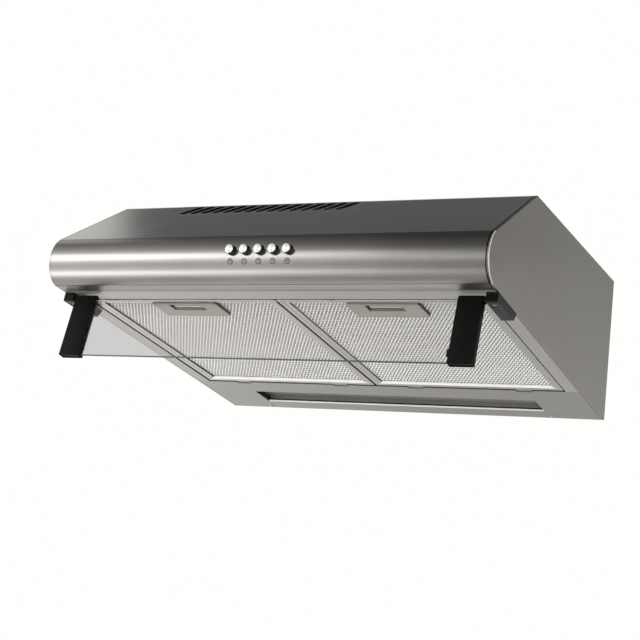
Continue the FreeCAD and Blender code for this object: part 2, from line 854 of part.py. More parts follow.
def pan_screw(length):
    """A small screw pointing up, its head below zero."""
    crown = Vector(0, 0, -screw_head_height)
    head = Part.makeCone(screw_crown_radius, screw_head_radius, screw_head_height, crown)
    return head.fuse(Part.makeCylinder(screw_radius, length, origin)).removeSplitter()


def hinge_screws():
    """The two screws that hold the hinge blocks under the tray."""
    screws = []
    for side in (-1, 1):
        screw = pan_screw(block_height)
        place = Vector(side * hinge_middle_x(), hinge_screw_back, -block_height + screw_head_height + fit)
        screw.translate(place)
        screws.append(on_underside(screw))
    return Part.makeCompound(screws)


def strip_screws():
    """The two screws near the wall that hold the rear strip."""
    screws = []
    for side in (-1, 1):
        screw = pan_screw(strip_screw_length)
        screw.translate(Vector(side * strip_screw_x, underside_length - strip_screw_back, 0))
        screws.append(on_underside(screw))
    return Part.makeCompound(screws)


def collar_screws():
    """The four screws round the duct collar."""
    screws = []
    for angle in collar_screw_angles():
        screw = pan_screw(collar_screw_length)
        screw.rotate(origin, x_axis, 180)
        screw.translate(collar_screw_place(angle, top_z + collar_flange))
        screws.append(screw)
    return Part.makeCompound(screws)


def switch_block():
    """The moulded block behind the buttons, its front following the bulge."""
    back = front_y + switch_block_depth
    half = switch_block_height / 2
    start = button_middle_x - switch_block_length / 2
    end = button_middle_x + switch_block_length / 2
    block = box(start, end, front_y, back, button_z - half, button_z + half)
    block = block.common(inside_outline(sheet + fit, start - cut_over, end + cut_over))
    cap_end = button_tip_y() + button_proud + button_body_length
    cutters = []
    for x in button_places():
        bore_end = cap_end + button_travel + fit
        cutters.append(Part.makeCylinder(button_radius + button_play, bore_end - front_y + cut_over,
                                         Vector(x, front_y - cut_over, button_z), y_axis))
        side = stem_side / 2 + button_play
        cutters.append(box(x - side, x + side, front_y, cap_end + stem_length + button_travel + fit,
                           button_z - side, button_z + side))
    return block.cut(cutters)


def button_tip_y():
    """The face of a button, standing proud of the bulge."""
    return front_y - button_proud


def push_button(x):
    """One round metal button with its square stem."""
    tip = button_tip_y()
    length = button_proud + button_body_length
    cap = Part.makeCylinder(button_radius, length, Vector(x, tip, button_z), y_axis)
    face_edge = [e for e in cap.Edges if e.BoundBox.YMax < tip + button_edge]
    cap = cap.makeChamfer(button_edge, face_edge)
    half = stem_side / 2
    root = tip + length
    stem = box(x - half, x + half, root, root + stem_length, button_z - half, button_z + half)
    return cap.fuse(stem).removeSplitter()


def outlet_collar():
    """The round duct outlet on the top, with a narrow seat inside for the flaps."""
    base = Vector(0, duct_middle_y, top_z)
    inner_radius = duct_radius - duct_wall
    collar = Part.makeCylinder(duct_radius, collar_flange + duct_height, base)
    collar = collar.fuse(Part.makeCylinder(collar_flange_radius, collar_flange, base))
    collar = collar.fuse(Part.makeCylinder(duct_radius, sheet, base - Vector(0, 0, sheet)))
    total = sheet + collar_flange + duct_height + 2 * cut_over
    collar = collar.cut(Part.makeCylinder(inner_radius, total, base - Vector(0, 0, sheet + cut_over)))
    seat_top = base + Vector(0, 0, flap_seat_height - flap_thickness / 2 - fit / 2)
    seat_low = seat_top - Vector(0, 0, flap_seat_thickness)
    seat = Part.makeCylinder(inner_radius + duct_wall / 2, flap_seat_thickness, seat_low)
    seat = seat.cut(Part.makeCylinder(inner_radius - flap_seat_width, flap_seat_thickness, seat_low))
    gate = box(-duct_radius, duct_radius, duct_middle_y - flap_notch / 2, duct_middle_y + flap_notch / 2,
               seat_low.z - cut_over, seat_top.z + cut_over)
    seat = seat.cut(gate.common(Part.makeCylinder(inner_radius, total, base - Vector(0, 0, cut_over))))
    collar = collar.fuse(seat)
    cutters = []
    for side in (-1, 1):
        rod_y = duct_middle_y + side * flap_rod_offset
        place = Vector(-duct_radius - cut_over, rod_y, top_z + flap_seat_height)
        across = 2 * (duct_radius + cut_over)
        cutters.append(Part.makeCylinder(flap_rod_radius + shaft_clearance, across, place, x_axis))
    for angle in collar_screw_angles():
        place = collar_screw_place(angle, top_z - cut_over)
        cutters.append(Part.makeCylinder(screw_radius + fit, collar_flange + 2 * cut_over, place))
    return collar.cut(cutters).removeSplitter()


def outlet_flap(side):
    """Half a disc on a rod, which air lifts and gravity closes."""
    radius = duct_radius - duct_wall - flap_gap
    middle = Vector(0, duct_middle_y, top_z + flap_seat_height - flap_thickness / 2)
    disc = Part.makeCylinder(radius, flap_thickness, middle)
    edge = duct_middle_y + side * flap_rod_offset
    far = duct_middle_y + side * duct_radius
    half = box(-duct_radius, duct_radius, min(edge, far), max(edge, far), top_z, top_z + duct_height)
    rod_length = 2 * (duct_radius - fit)
    rod_start = Vector(-rod_length / 2, edge, top_z + flap_seat_height)
    rod = Part.makeCylinder(flap_rod_radius, rod_length, rod_start, x_axis)
    return disc.common(half).fuse(rod).removeSplitter()


def scroll_edges(wall):
    """The snail outline of the blower, in from its outer face by a given wall."""
    first = scroll_small_radius
    second = first + scroll_growth
    third = second + scroll_growth
    middle = in_profile(fan_middle_y, fan_z)
    shift = in_profile(scroll_growth, 0)
    top = middle + in_profile(0, first - wall)
    front = middle - in_profile(first - wall, 0)
    second_middle = middle + shift
    bottom = second_middle - in_profile(0, second - wall)
    third_middle = second_middle + in_profile(0, scroll_growth)
    back = third_middle + in_profile(third - wall, 0)
    mouth_z = top_z - sheet
    throat = in_profile(fan_middle_y + scroll_cutoff + wall, top.z)
    mouth_front = in_profile(throat.y, mouth_z + (cut_over if wall else 0))
    mouth_back = in_profile(back.y, mouth_front.z)
    return [
        arc_about(top, front, middle),
        arc_about(front, bottom, second_middle),
        arc_about(bottom, back, third_middle),
        Part.makeLine(back, mouth_back),
        Part.makeLine(mouth_back, mouth_front),
        Part.makeLine(mouth_front, throat),
        Part.makeLine(throat, top),
    ]


def fan_housing():
    """The snail-shaped blower housing, open at both sides and at its mouth under the duct."""
    half = scroll_width / 2
    outer = Part.Face(Part.Wire(scroll_edges(0)))
    outer.translate(Vector(-half, 0, 0))
    housing = outer.extrude(Vector(scroll_width, 0, 0))
    rim_half = collar_screw_radius * math.cos(collar_screw_angles()[0]) + collar_screw_margin
    rim = box(-rim_half, rim_half, duct_middle_y - rim_half, duct_middle_y + rim_half,
              top_z - sheet - scroll_wall, top_z - sheet)
    inner = Part.Face(Part.Wire(scroll_edges(scroll_wall)))
    inner.translate(Vector(-half + scroll_wall, 0, 0))
    hollow = inner.extrude(Vector(scroll_width - 2 * scroll_wall, 0, 0))
    inlets = Part.makeCylinder(scroll_inlet_radius, scroll_width + 2 * cut_over,
                               Vector(-half - cut_over, fan_middle_y, fan_z), x_axis)
    cutters = [hollow, inlets]
    for angle in collar_screw_angles():
        place = collar_screw_place(angle, top_z - sheet - scroll_wall - cut_over)
        cutters.append(Part.makeCylinder(screw_radius + fit, scroll_wall + 2 * cut_over, place))
    return housing.fuse(rim).cut(cutters).removeSplitter()


def fan_wheel():
    """The squirrel-cage wheel: two rings and a middle plate joined by curved blades."""
    half = wheel_width / 2
    middle = Vector(0, fan_middle_y, fan_z)
    pieces = []
    for x in (-half, half - wheel_plate):
        place = middle + Vector(x, 0, 0)
        ring = Part.makeCylinder(wheel_radius, wheel_plate, place, x_axis)
        pieces.append(ring.cut(Part.makeCylinder(wheel_radius - wheel_depth, wheel_plate, place, x_axis)))
    plate_start = middle - Vector(wheel_plate / 2, 0, 0)
    pieces.append(Part.makeCylinder(wheel_radius, wheel_plate, plate_start, x_axis))
    hub_start = middle - Vector(wheel_hub_length / 2, 0, 0)
    pieces.append(Part.makeCylinder(wheel_hub_radius, wheel_hub_length, hub_start, x_axis))
    inner = in_profile(0, wheel_radius - wheel_depth + blade_thickness)
    outer = in_profile(-wheel_depth * math.tan(math.radians(blade_lean)), wheel_radius - 2 * blade_thickness)
    belly = (inner + outer) * 0.5 + in_profile(blade_hollow, 0)
    spine = Part.Wire([Part.Arc(inner, belly, outer).toShape()])
    section = spine.makeOffset2D(blade_thickness, fill=True, openResult=True)
    blade = section.extrude(Vector(wheel_width - 2 * blade_sink, 0, 0))
    blade.translate(middle - Vector(half - blade_sink, 0, 0))
    for index in range(blade_count):
        turned = blade.copy()
        turned.rotate(middle, x_axis, index * 360 / blade_count)
        pieces.append(turned)
    wheel = pieces[0].fuse(pieces[1:])
    bore = Part.makeCylinder(shaft_radius, scroll_width, middle - Vector(scroll_width / 2, 0, 0), x_axis)
    return wheel.cut(bore).removeSplitter()


def motor_end_x():
    return -scroll_width / 2 - motor_gap - motor_length


def fan_shaft():
    """The steel shaft from the back of the motor through the wheel's hub."""
    start = motor_end_x() - motor_boss_length - shaft_overhang
    end = wheel_hub_length / 2 + shaft_overhang
    return Part.makeCylinder(shaft_radius, end - start, Vector(start, fan_middle_y, fan_z), x_axis)


def fan_motor():
    """The motor on its three-legged ring, standing in the housing's left inlet."""
    start = motor_end_x()
    at = Vector(start, fan_middle_y, fan_z)
    body = Part.makeCylinder(motor_radius, motor_length, at, x_axis)
    rims = [e for e in body.Edges if e.BoundBox.XLength < fit]
    body = body.makeChamfer(motor_end_slope, rims)
    boss_start = at - Vector(motor_boss_length, 0, 0)
    boss = Part.makeCylinder(motor_boss_radius, 2 * motor_boss_length + motor_length, boss_start, x_axis)
    ring_start = Vector(-scroll_width / 2 - spoke_thickness, fan_middle_y, fan_z)
    ring_radius = scroll_inlet_radius + spoke_ring_width
    ring = Part.makeCylinder(ring_radius, spoke_thickness, ring_start, x_axis)
    ring_hole = scroll_inlet_radius - spoke_ring_width / 2
    ring = ring.cut(Part.makeCylinder(ring_hole, spoke_thickness, ring_start, x_axis))
    pieces = [boss, ring]
    for index in range(spoke_count):
        spoke = box(start + motor_length - motor_end_slope - spoke_thickness, -scroll_width / 2,
                    fan_middle_y - spoke_width / 2, fan_middle_y + spoke_width / 2,
                    fan_z + motor_radius - spoke_thickness, fan_z + scroll_inlet_radius)
        spoke.rotate(Vector(0, fan_middle_y, fan_z), x_axis, index * 360 / spoke_count)
        pieces.append(spoke)
    bore = Part.makeCylinder(shaft_radius + shaft_clearance, motor_length + 4 * motor_boss_length,
                             boss_start - Vector(motor_boss_length, 0, 0), x_axis)
    return body.fuse(pieces).cut(bore).removeSplitter()


def terminal_box():
    """The closed plastic box under the top where the mains lead is joined."""
    x = terminal_middle_x
    y = terminal_middle_y
    top = top_z - sheet
    half_x = terminal_length / 2
    half_y = terminal_width / 2
    outer = box(x - half_x, x + half_x, y - half_y, y + half_y, top - terminal_height, top)
    upright = [e for e in outer.Edges if e.BoundBox.ZLength > terminal_height / 2]
    outer = outer.makeFillet(2 * terminal_wall, upright)
    w = terminal_wall
    floor = top - terminal_height + w
    hollow = box(x - half_x + w, x + half_x - w, y - half_y + w, y + half_y - w, floor, top + cut_over)
    return outer.cut(hollow)


def cable_gland():
    """The bushing in the top through which the mains lead would enter."""
    at = Vector(gland_x, gland_y, top_z - sheet - gland_nut_height)
    total = gland_nut_height + sheet + gland_height
    gland = Part.makeCylinder(gland_radius, total, at)
    nut = hexagon(gland_nut_radius, gland_nut_height)
    nut.translate(at)
    collar = hexagon(gland_nut_radius, gland_nut_height)
    collar.translate(Vector(gland_x, gland_y, top_z))
    gland = gland.fuse([nut, collar])
    bore = Part.makeCylinder(gland_bore_radius, total + 2 * cut_over, at - Vector(0, 0, cut_over))
    return gland.cut(bore).removeSplitter()


def hexagon(radius, height):
    corners = []
    for index in range(7):
        angle = math.radians(60 * index)
        corners.append(Vector(radius * math.cos(angle), radius * math.sin(angle), 0))
    return Part.Face(Part.makePolygon(corners)).extrude(Vector(0, 0, height))


def motor_capacitor():
    """The motor's capacitor, strapped under the top."""
    z = top_z - sheet - capacitor_strap - capacitor_radius
    half = capacitor_length / 2
    can_start = Vector(capacitor_x - half, capacitor_y, z)
    can = Part.makeCylinder(capacitor_radius, capacitor_length, can_start, x_axis)
    rims = [e for e in can.Edges if e.BoundBox.XLength < fit]
    can = can.makeChamfer(capacitor_strap, rims)
    w = capacitor_strap_width / 2
    foot = box(capacitor_x - w, capacitor_x + w,
               capacitor_y - capacitor_radius, capacitor_y + capacitor_radius,
               z + capacitor_radius / 2, top_z - sheet)
    return can.fuse(foot).removeSplitter()


def save(name, shape):
    solids = shape.Solids
    result = solids[0] if len(solids) == 1 else Part.makeCompound(solids)
    result.exportStep("parts/" + name + ".step")


def build():
    os.makedirs("parts", exist_ok=True)
    panel = side_panel()
    save("side_panel_right", panel)
    save("side_panel_left", mirrored(panel))
    save("front_fascia", front_fascia())
    save("body_shell", body_shell())
    save("underside_tray", underside_tray())
    save("rear_strip", rear_strip())
    save("light_cover", light_cover())
    save("light_housing", light_housing())
    for name, side in (("left", -1), ("right", 1)):
        save("light_bulb_" + name, light_bulb(side))
        save("bulb_holder_" + name, bulb_holder(side))
        save("filter_frame_" + name, filter_frame(side))
        save("filter_mesh_" + name, filter_mesh(side))
        save("filter_handle_" + name, filter_handle(side))
        save("filter_latch_" + name, filter_latch(side))
        save("hinge_block_" + name, hinge_block(side))
        save("hinge_cap_" + name, hinge_cap(side))
        save("visor_arm_" + name, visor_arm(side))
        save("glass_gasket_" + name, glass_gasket(side))
        save("hinge_pin_" + name, hinge_pin(side))
    save("visor_glass", visor_glass())
    save("hinge_screws", hinge_screws())
    save("strip_screws", strip_screws())
    save("collar_screws", collar_screws())
    save("switch_block", switch_block())
    for index, x in enumerate(button_places()):
        save("push_button_" + str(index + 1), push_button(x))
    save("outlet_collar", outlet_collar())
    save("outlet_flap_front", outlet_flap(-1))
    save("outlet_flap_back", outlet_flap(1))
    save("fan_housing", fan_housing())
    save("fan_wheel", fan_wheel())
    save("fan_shaft", fan_shaft())
    save("fan_motor", fan_motor())
    save("terminal_box", terminal_box())
    save("cable_gland", cable_gland())
    save("motor_capacitor", motor_capacitor())


build()
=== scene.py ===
import math
import random

import bmesh
import bpy
from mathutils import Matrix, Vector


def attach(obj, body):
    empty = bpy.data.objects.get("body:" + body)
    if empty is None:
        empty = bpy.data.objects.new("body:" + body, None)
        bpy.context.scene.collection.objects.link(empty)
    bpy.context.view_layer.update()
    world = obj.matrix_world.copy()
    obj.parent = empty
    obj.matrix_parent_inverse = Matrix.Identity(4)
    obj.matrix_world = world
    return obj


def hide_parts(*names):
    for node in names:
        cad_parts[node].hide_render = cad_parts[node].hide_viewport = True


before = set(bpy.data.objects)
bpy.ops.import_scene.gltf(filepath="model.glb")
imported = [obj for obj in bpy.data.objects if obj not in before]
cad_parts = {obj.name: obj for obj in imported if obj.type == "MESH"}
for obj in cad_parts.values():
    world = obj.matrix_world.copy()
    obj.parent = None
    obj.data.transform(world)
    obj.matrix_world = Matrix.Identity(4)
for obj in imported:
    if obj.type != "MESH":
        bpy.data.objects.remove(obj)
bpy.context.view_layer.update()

# Studio. The hood hangs in a pale room with a white surround. One soft lamp
# stands high at the front left and a flat one low at the front, and the room
# behind and to the right is dim, which is what the polished sheets mirror.
mm = 0.001
bpy.context.scene.view_settings.view_transform = "Standard"
studio = bpy.data.worlds.new("studio")
bpy.context.scene.world = studio
studio.use_nodes = True
tree = studio.node_tree
tree.nodes.clear()


def wire(tree, value, socket):
    """Joins a socket to another one, or sets it to a plain number or colour."""
    if isinstance(value, bpy.types.NodeSocket):
        tree.links.new(value, socket)
    elif socket.type == "RGBA":
        socket.default_value = (*value, 1)
    else:
        socket.default_value = value


def add_node(tree, kind, inputs, **settings):
    """Adds a shader node with its settings, and feeds its inputs."""
    node = tree.nodes.new("ShaderNode" + kind)
    for name, value in settings.items():
        setattr(node, name, value)
    for label, value in inputs.items():
        wire(tree, value, node.inputs[label])
    return node


def math_node(tree, operation, *values):
    return add_node(tree, "Math", dict(enumerate(values)), operation=operation).outputs[0]


def ramp_node(tree, factor, stops, interpolation="LINEAR"):
    node = add_node(tree, "ValToRGB", {0: factor})
    node.color_ramp.interpolation = interpolation
    elements = node.color_ramp.elements
    while len(elements) < len(stops):
        elements.new(0.5)
    for element, (place, level) in zip(elements, stops):
        element.position = place
        element.color = (*level, 1) if isinstance(level, tuple) else (level, level, level, 1)
    return node.outputs[0]


def spread(tree, value, low, high, start=0.3, end=0.7):
    """Maps a value from one range to another, where the first is a pattern's usual one."""
    ranges = {"From Min": start, "From Max": end, "To Min": low, "To Max": high}
    return add_node(tree, "MapRange", {"Value": value, **ranges}).outputs[0]


def mixed(tree, factor, first, second):
    return add_node(tree, "Mix", {"Factor": factor, "A": first, "B": second}).outputs["Result"]


# brightness of the room by the angle round the hood's long axis: 0 is straight
# ahead of the hood, 90 overhead, 180 the wall and -90 the floor below. The first
# table holds for the room's left side, the second for the part to its right
room_peak = 3.2
room_left = [
    (-180, 0.90), (-151, 1.00), (-115, 0.96), (-103, 1.00), (-95, 0.70), (-86, 0.27), (-78, 0.35),
    (-72, 0.75), (-64, 1.90), (-54, 2.90), (-46, 2.20), (-39, 1.30), (-30, 0.98), (-18, 0.82), (-6, 0.88),
    (3, 1.30), (10, 2.00), (18, 3.00), (26, 2.80), (33, 1.50), (41, 0.85), (50, 0.58), (60, 0.40), (72, 0.28),
    (89, 0.18), (105, 0.11), (119, 0.07), (127, 0.11), (134, 0.16), (150, 0.25), (162, 0.32), (180, 0.50),
]
room_right = [
    (-180, 0.55), (-151, 0.48), (-115, 0.44), (-105, 0.20), (-95, 0.15), (-85, 0.18), (-74, 0.24),
    (-64, 0.32), (-44, 0.36), (-23, 0.36), (-13, 0.44), (-3, 0.62), (7, 0.68), (18, 0.44), (26, 0.30),
    (37, 0.18), (47, 0.12), (58, 0.10), (79, 0.06), (99, 0.04), (119, 0.05), (127, 0.08), (134, 0.15),
    (150, 0.25), (162, 0.32), (180, 0.50),
]
direction = add_node(tree, "TexCoord", {}).outputs["Generated"]
way = add_node(tree, "SeparateXYZ", {0: direction}).outputs
angle = math_node(tree, "ARCTAN2", way["Z"], math_node(tree, "MULTIPLY", way["Y"], -1.0))
turn = math_node(tree, "MULTIPLY_ADD", angle, 0.5 / math.pi, 0.5)
sides = []
for table in (room_left, room_right):
    stops = [((degrees + 180) / 360, light / room_peak) for degrees, light in table]
    sides.append(ramp_node(tree, turn, stops))

# the room changes from left, at 0, to right, at 1, and dims in front of the
# hood, behind and below it, and behind and above it, each in its own way
sideways = math_node(tree, "MULTIPLY_ADD", way["X"], 0.5, 0.5)
to_right = ramp_node(tree, sideways, [(0.0, 0.0), (0.212, 0.0), (0.255, 0.42), (0.29, 0.78), (0.315, 1.0)])
front_fade = ramp_node(tree, sideways, [(0.32, 0.5), (0.345, 0.38), (0.40, 0.30), (0.47, 1.0), (1.0, 1.0)])
low_fade = ramp_node(tree, sideways, [(0.0, 0.5), (1.0, 0.55)])
high_fade = ramp_node(tree, sideways, [(0, 1), (0.2135, 1), (0.2185, 0.185), (0.65, 0.185), (1, 0.22)])
high_gain = 2.7
high = math_node(tree, "MULTIPLY", high_fade, high_gain)
behind = mixed(tree, spread(tree, way["Z"], 0.0, 1.0, -0.05, 0.15), low_fade, high)
fade = mixed(tree, spread(tree, way["Y"], 0.0, 1.0, -0.10, 0.25), front_fade, behind)
level = math_node(tree, "MULTIPLY", mixed(tree, to_right, *sides), fade)
level = math_node(tree, "MULTIPLY", level, 2 * room_peak)

# metal mirrors that room, and the camera sees white, a little dimmer through glass
light_on_hood, dimmer_in_glass = 1.12, -0.36
rays = add_node(tree, "LightPath", {}).outputs
seen = math_node(tree, "MAXIMUM", rays["Is Camera Ray"], rays["Is Transmission Ray"])
room = mixed(tree, rays["Is Glossy Ray"], light_on_hood, level)
white = math_node(tree, "MULTIPLY_ADD", rays["Is Transmission Ray"], dimmer_in_glass, 1.0)
strength = mixed(tree, seen, room, white)
background = add_node(tree, "Background", {"Color": (1.0, 0.995, 0.985), "Strength": strength})
add_node(tree, "OutputWorld", {"Surface": background.outputs[0]})


def soft_lamp(name, place, aim, size, power):
    """A rectangular lamp that lights the hood and isn't mirrored or seen itself."""
    lamp = bpy.data.lights.new(name, "AREA")
    lamp.shape = "RECTANGLE"
    lamp.size, lamp.size_y = size
    lamp.energy = power
    holder = bpy.data.objects.new(name, lamp)
    bpy.context.collection.objects.link(holder)
    holder.location = place
    holder.rotation_euler = (Vector(aim) - Vector(place)).to_track_quat("-Z", "Y").to_euler()
    holder.visible_glossy = False
    holder.visible_transmission = False
    holder.visible_camera = False


soft_lamp("lamp_high_left", (-1.6, -2.0, 1.7), (0, -0.3, 0), (1.6, 1.2), 26)
soft_lamp("lamp_low_front", (-0.5, -2.2, -0.45), (0, -0.3, -0.1), (1.8, 0.5), 9)


def placed(bm, name):
    """Turns a bmesh into an object of the scene."""
    mesh = bpy.data.meshes.new(name)
    bm.to_mesh(mesh)
    bm.free()
    piece = bpy.data.objects.new(name, mesh)
    bpy.context.collection.objects.link(piece)
    return piece


def new_finish(name):
    """An empty material with its shader, and the object coordinates that its patterns read."""
    finish = bpy.data.materials.new(name)
    finish.use_nodes = True
    tree = finish.node_tree
    tree.nodes.clear()
    shader = add_node(tree, "BsdfPrincipled", {}, name="shader")
    add_node(tree, "OutputMaterial", {"Surface": shader.outputs[0]})
    return finish, tree, shader, add_node(tree, "TexCoord", {}, name="place").outputs["Object"]


# the floor is a pale disc that thins out to nothing at its rim
floor_middle, floor_radius = (0, -0.3, -0.75), 3.2
bm = bmesh.new()
bmesh.ops.create_circle(bm, cap_ends=True, radius=floor_radius, segments=96,
                        matrix=Matrix.Translation(floor_middle))
floor = placed(bm, "floor")
floor_paint, tree, shader, place = new_finish("floor_paint")
reach = add_node(tree, "VectorMath", {0: place}, operation="LENGTH").outputs["Value"]
rim_reach = 3.4
rim = ramp_node(tree, math_node(tree, "DIVIDE", reach, rim_reach), [(0.0, 1), (0.35, 1), (0.85, 0)], "EASE")
clouds = add_node(tree, "TexNoise", {"Scale": 3.0, "Vector": place}).outputs["Fac"]
paint = ramp_node(tree, clouds, [(0.3, (0.86, 0.855, 0.85)), (0.7, (0.88, 0.878, 0.872))])
for label, value in (("Base Color", paint), ("Alpha", rim), ("Roughness", 0.9)):
    wire(tree, value, shader.inputs[label])
floor.data.materials.append(floor_paint)
floor.visible_glossy = False

# the camera stands low at the front right and looks up under the hood
camera_place = (0.82184, -1.91177, -0.50624)
camera_turn, camera_lift, camera_roll = 0.466510, 0.253103, -0.122207
film_width, picture_pixels, focal_pixels = 36, 640, 1397.3
camera_data = bpy.data.cameras.new("camera")
camera = bpy.data.objects.new("camera", camera_data)
bpy.context.collection.objects.link(camera)
aim = Matrix.Rotation(camera_turn, 4, "Z") @ Matrix.Rotation(camera_lift, 4, "X")
aim = aim @ Matrix.Rotation(camera_roll, 4, "Y")
camera.matrix_world = Matrix.Translation(camera_place) @ aim @ Matrix.Rotation(math.radians(90), 4, "X")
camera_data.sensor_width = film_width
camera_data.lens = film_width * focal_pixels / picture_pixels
camera_data.shift_x, camera_data.shift_y = -0.0301, -0.0524
camera_data.clip_start = 0.05
bpy.context.scene.camera = camera

# Front fascia. One sheet of brushed stainless steel, 1 mm thick, rolled into
# the bulge and folded at the crease, the knee and under the front. Fifteen
# leaning air slots are punched near its top, and five holes for the buttons.
sheet = 1.0 * mm
left_half, right_half = 0.2967, 0.2954
knee = Vector((0, -0.500, -0.095))
crease = Vector((0, -0.505, -0.034))
nose = Vector((0, -0.520, -0.065))
top_edge = Vector((0, -0.372, 0.054))
underside_rise, underside_reach = 0.055, 0.500
underside_slope = math.atan2(underside_rise, underside_reach)
slope_angle = math.atan2(top_edge.z - crease.z, top_edge.y - crease.y)
slope_length = (top_edge.yz - crease.yz).length


def seated(place, axis, angle):
    """The matrix that turns what is drawn at the origin, and then moves it to its place."""
    return Matrix.Translation(place) @ Matrix.Rotation(angle, 4, axis)


# what is drawn level is turned on to the underside or the sloping face
under = seated(knee, "X", -underside_slope)
on_slope = seated(crease, "X", slope_angle)
quarter_turn = math.radians(90)


def verts_of(geom):
    return [part for part in geom if isinstance(part, bmesh.types.BMVert)]


def run_to(bm, vert, *places):
    """Draws straight runs from a vertex through places, and gives back the last vertex."""
    for place in places:
        vert = bmesh.ops.extrude_vert_indiv(bm, verts=[vert])["verts"][0]
        vert.co = place
    return vert


def bulge_from(bm, vert, sideways, lower_steps):
    """Draws the bulge from the crease to the knee, in two arcs that are upright at the nose."""
    for corner, end, steps in ((crease, nose, 36), (knee, knee, lower_steps)):
        across, along = abs(corner.y - nose.y), abs(corner.z - nose.z)
        radius = (across**2 + along**2) / (2 * across)
        sweep = 2 * math.asin((corner.yz - nose.yz).length / 2 / radius)
        centre = Vector((sideways.x, nose.y + radius, nose.z))
        arc = bmesh.ops.spin(bm, geom=[vert], cent=centre, axis=(1, 0, 0), angle=sweep, steps=steps)
        vert = verts_of(arc["geom_last"])[0]
        vert.co = end + sideways
    return vert


def push_out(bm, faces, step):
    """Extrudes faces by a step, and gives back their new vertices."""
    lifted = verts_of(bmesh.ops.extrude_face_region(bm, geom=faces)["geom"])
    bmesh.ops.translate(bm, verts=lifted, vec=step)
    return lifted


def round_over(bm, corners, radius, segments, affect="EDGES"):
    bmesh.ops.bevel(bm, geom=corners, offset=radius, segments=segments, affect=affect, profile=0.5,
                    material=-1)


def rod(bm, radius, length, segments, place):
    """Adds a closed rod along Z, set in place by a matrix."""
    bmesh.ops.create_cone(bm, cap_ends=True, segments=segments, radius1=radius, radius2=radius, depth=length,
                          matrix=place)


def finished(bm, name, body, finishes, replaced=None, sharp=30):
    """Turns a bmesh into a piece that rides on a body, smooth except along sharp folds."""
    piece = placed(bm, name)
    for polygon in piece.data.polygons:
        polygon.use_smooth = True
    piece.data.set_sharp_from_angle(angle=math.radians(sharp))
    for finish in finishes:
        piece.data.materials.append(finish)
    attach(piece, body)
    if replaced:
        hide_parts(replaced)
    return piece


def cut_away(bm, cutter):
    """Cuts one closed bmesh out of another with an exact boolean, and gives back the result."""
    holders = []
    for source in (bm, cutter):
        bmesh.ops.recalc_face_normals(source, faces=source.faces)
        holders.append(placed(source, "cut"))
    knife = holders[0].modifiers.new("knife", "BOOLEAN")
    knife.operation = "DIFFERENCE"
    knife.solver = "EXACT"
    knife.use_self = False
    knife.object = holders[1]
    ready = holders[0].evaluated_get(bpy.context.evaluated_depsgraph_get())
    result = bmesh.new()
    result.from_mesh(ready.to_mesh())
    for holder in holders:
        mesh = holder.data
        bpy.data.objects.remove(holder)
        bpy.data.meshes.remove(mesh)
    return result


def noise_node(tree, place, scale, detail, rough=0.5, stretch=None):
    """A noise pattern, stretched along the axes by three factors."""
    if stretch is not None:
        place = add_node(tree, "VectorMath", {0: place, 1: stretch}, operation="MULTIPLY").outputs[0]
    inputs = {"Scale": scale, "Detail": detail, "Roughness": rough, "Vector": place}
    return add_node(tree, "TexNoise", inputs).outputs["Fac"]


def blend_colour(tree, factor, first, second):
    node = add_node(tree, "Mix", {"Factor": factor}, data_type="RGBA")
    sockets = [socket for socket in node.inputs if socket.type == "RGBA"]
    wire(tree, first, sockets[0])
    wire(tree, second, sockets[1])
    return next(socket for socket in node.outputs if socket.type == "RGBA")


def pattern_group(name, own_input):
    """An empty node group for a finish in two tones, with one input of its own."""
    group = bpy.data.node_groups.new(name, "ShaderNodeTree")
    inputs = [("Place", "Vector"), own_input, ("Dark", "Color"), ("Light", "Color"),
              ("Roughness Low", "Float"), ("Roughness High", "Float")]
    outputs = [("Colour", "Color"), ("Roughness", "Float"), ("Height", "Float")]
    for way, sockets in (("INPUT", inputs), ("OUTPUT", outputs)):
        for label, kind in sockets:
            group.interface.new_socket(name=label, in_out=way, socket_type="NodeSocket" + kind)
    return group, group.nodes.new("NodeGroupInput").outputs, group.nodes.new("NodeGroupOutput").inputs


def close_group(group, inside, outside, tone, height):
    """Lets a tone choose the colour and the roughness of a group, and passes on its height."""
    colour = blend_colour(group, spread(group, tone, 0.0, 1.0, 0.38, 0.62), inside["Dark"], inside["Light"])
    roughness = spread(group, tone, inside["Roughness Low"], inside["Roughness High"])
    for label, value in (("Colour", colour), ("Roughness", roughness), ("Height", height)):
        wire(group, value, outside[label])


# brushed and rolled sheet: fine streaks along the grain, wide soft clouds from
# handling, and a roughness that follows both
sheet_group, inside, outside = pattern_group("brushed_sheet", ("Grain", "Vector"))
streaks = noise_node(sheet_group, inside["Place"], 1.0, 4.0, 0.65, inside["Grain"])
smears = noise_node(sheet_group, inside["Place"], 9.0, 2.0, 0.5)
clouds = noise_node(sheet_group, inside["Place"], 30.0, 3.0, 0.55)
tone = math_node(sheet_group, "MULTIPLY", smears, 0.35)
tone = math_node(sheet_group, "MULTIPLY_ADD", streaks, 0.45, tone)
tone = math_node(sheet_group, "MULTIPLY_ADD", clouds, 0.20, tone)
close_group(sheet_group, inside, outside, tone, streaks)


def opened(finish):
    """The node tree of a finish, its shader, and the coordinates that its patterns read."""
    nodes = finish.node_tree.nodes
    return finish.node_tree, nodes["shader"], nodes["place"].outputs["Object"]


def relief(tree, shader, height, depth):
    """Raises a pattern on a surface, over any relief that it has already."""
    bump = add_node(tree, "Bump", {"Distance": depth, "Height": height})
    for link in shader.inputs["Normal"].links:
        wire(tree, link.from_socket, bump.inputs["Normal"])
    wire(tree, bump.outputs[0], shader.inputs["Normal"])


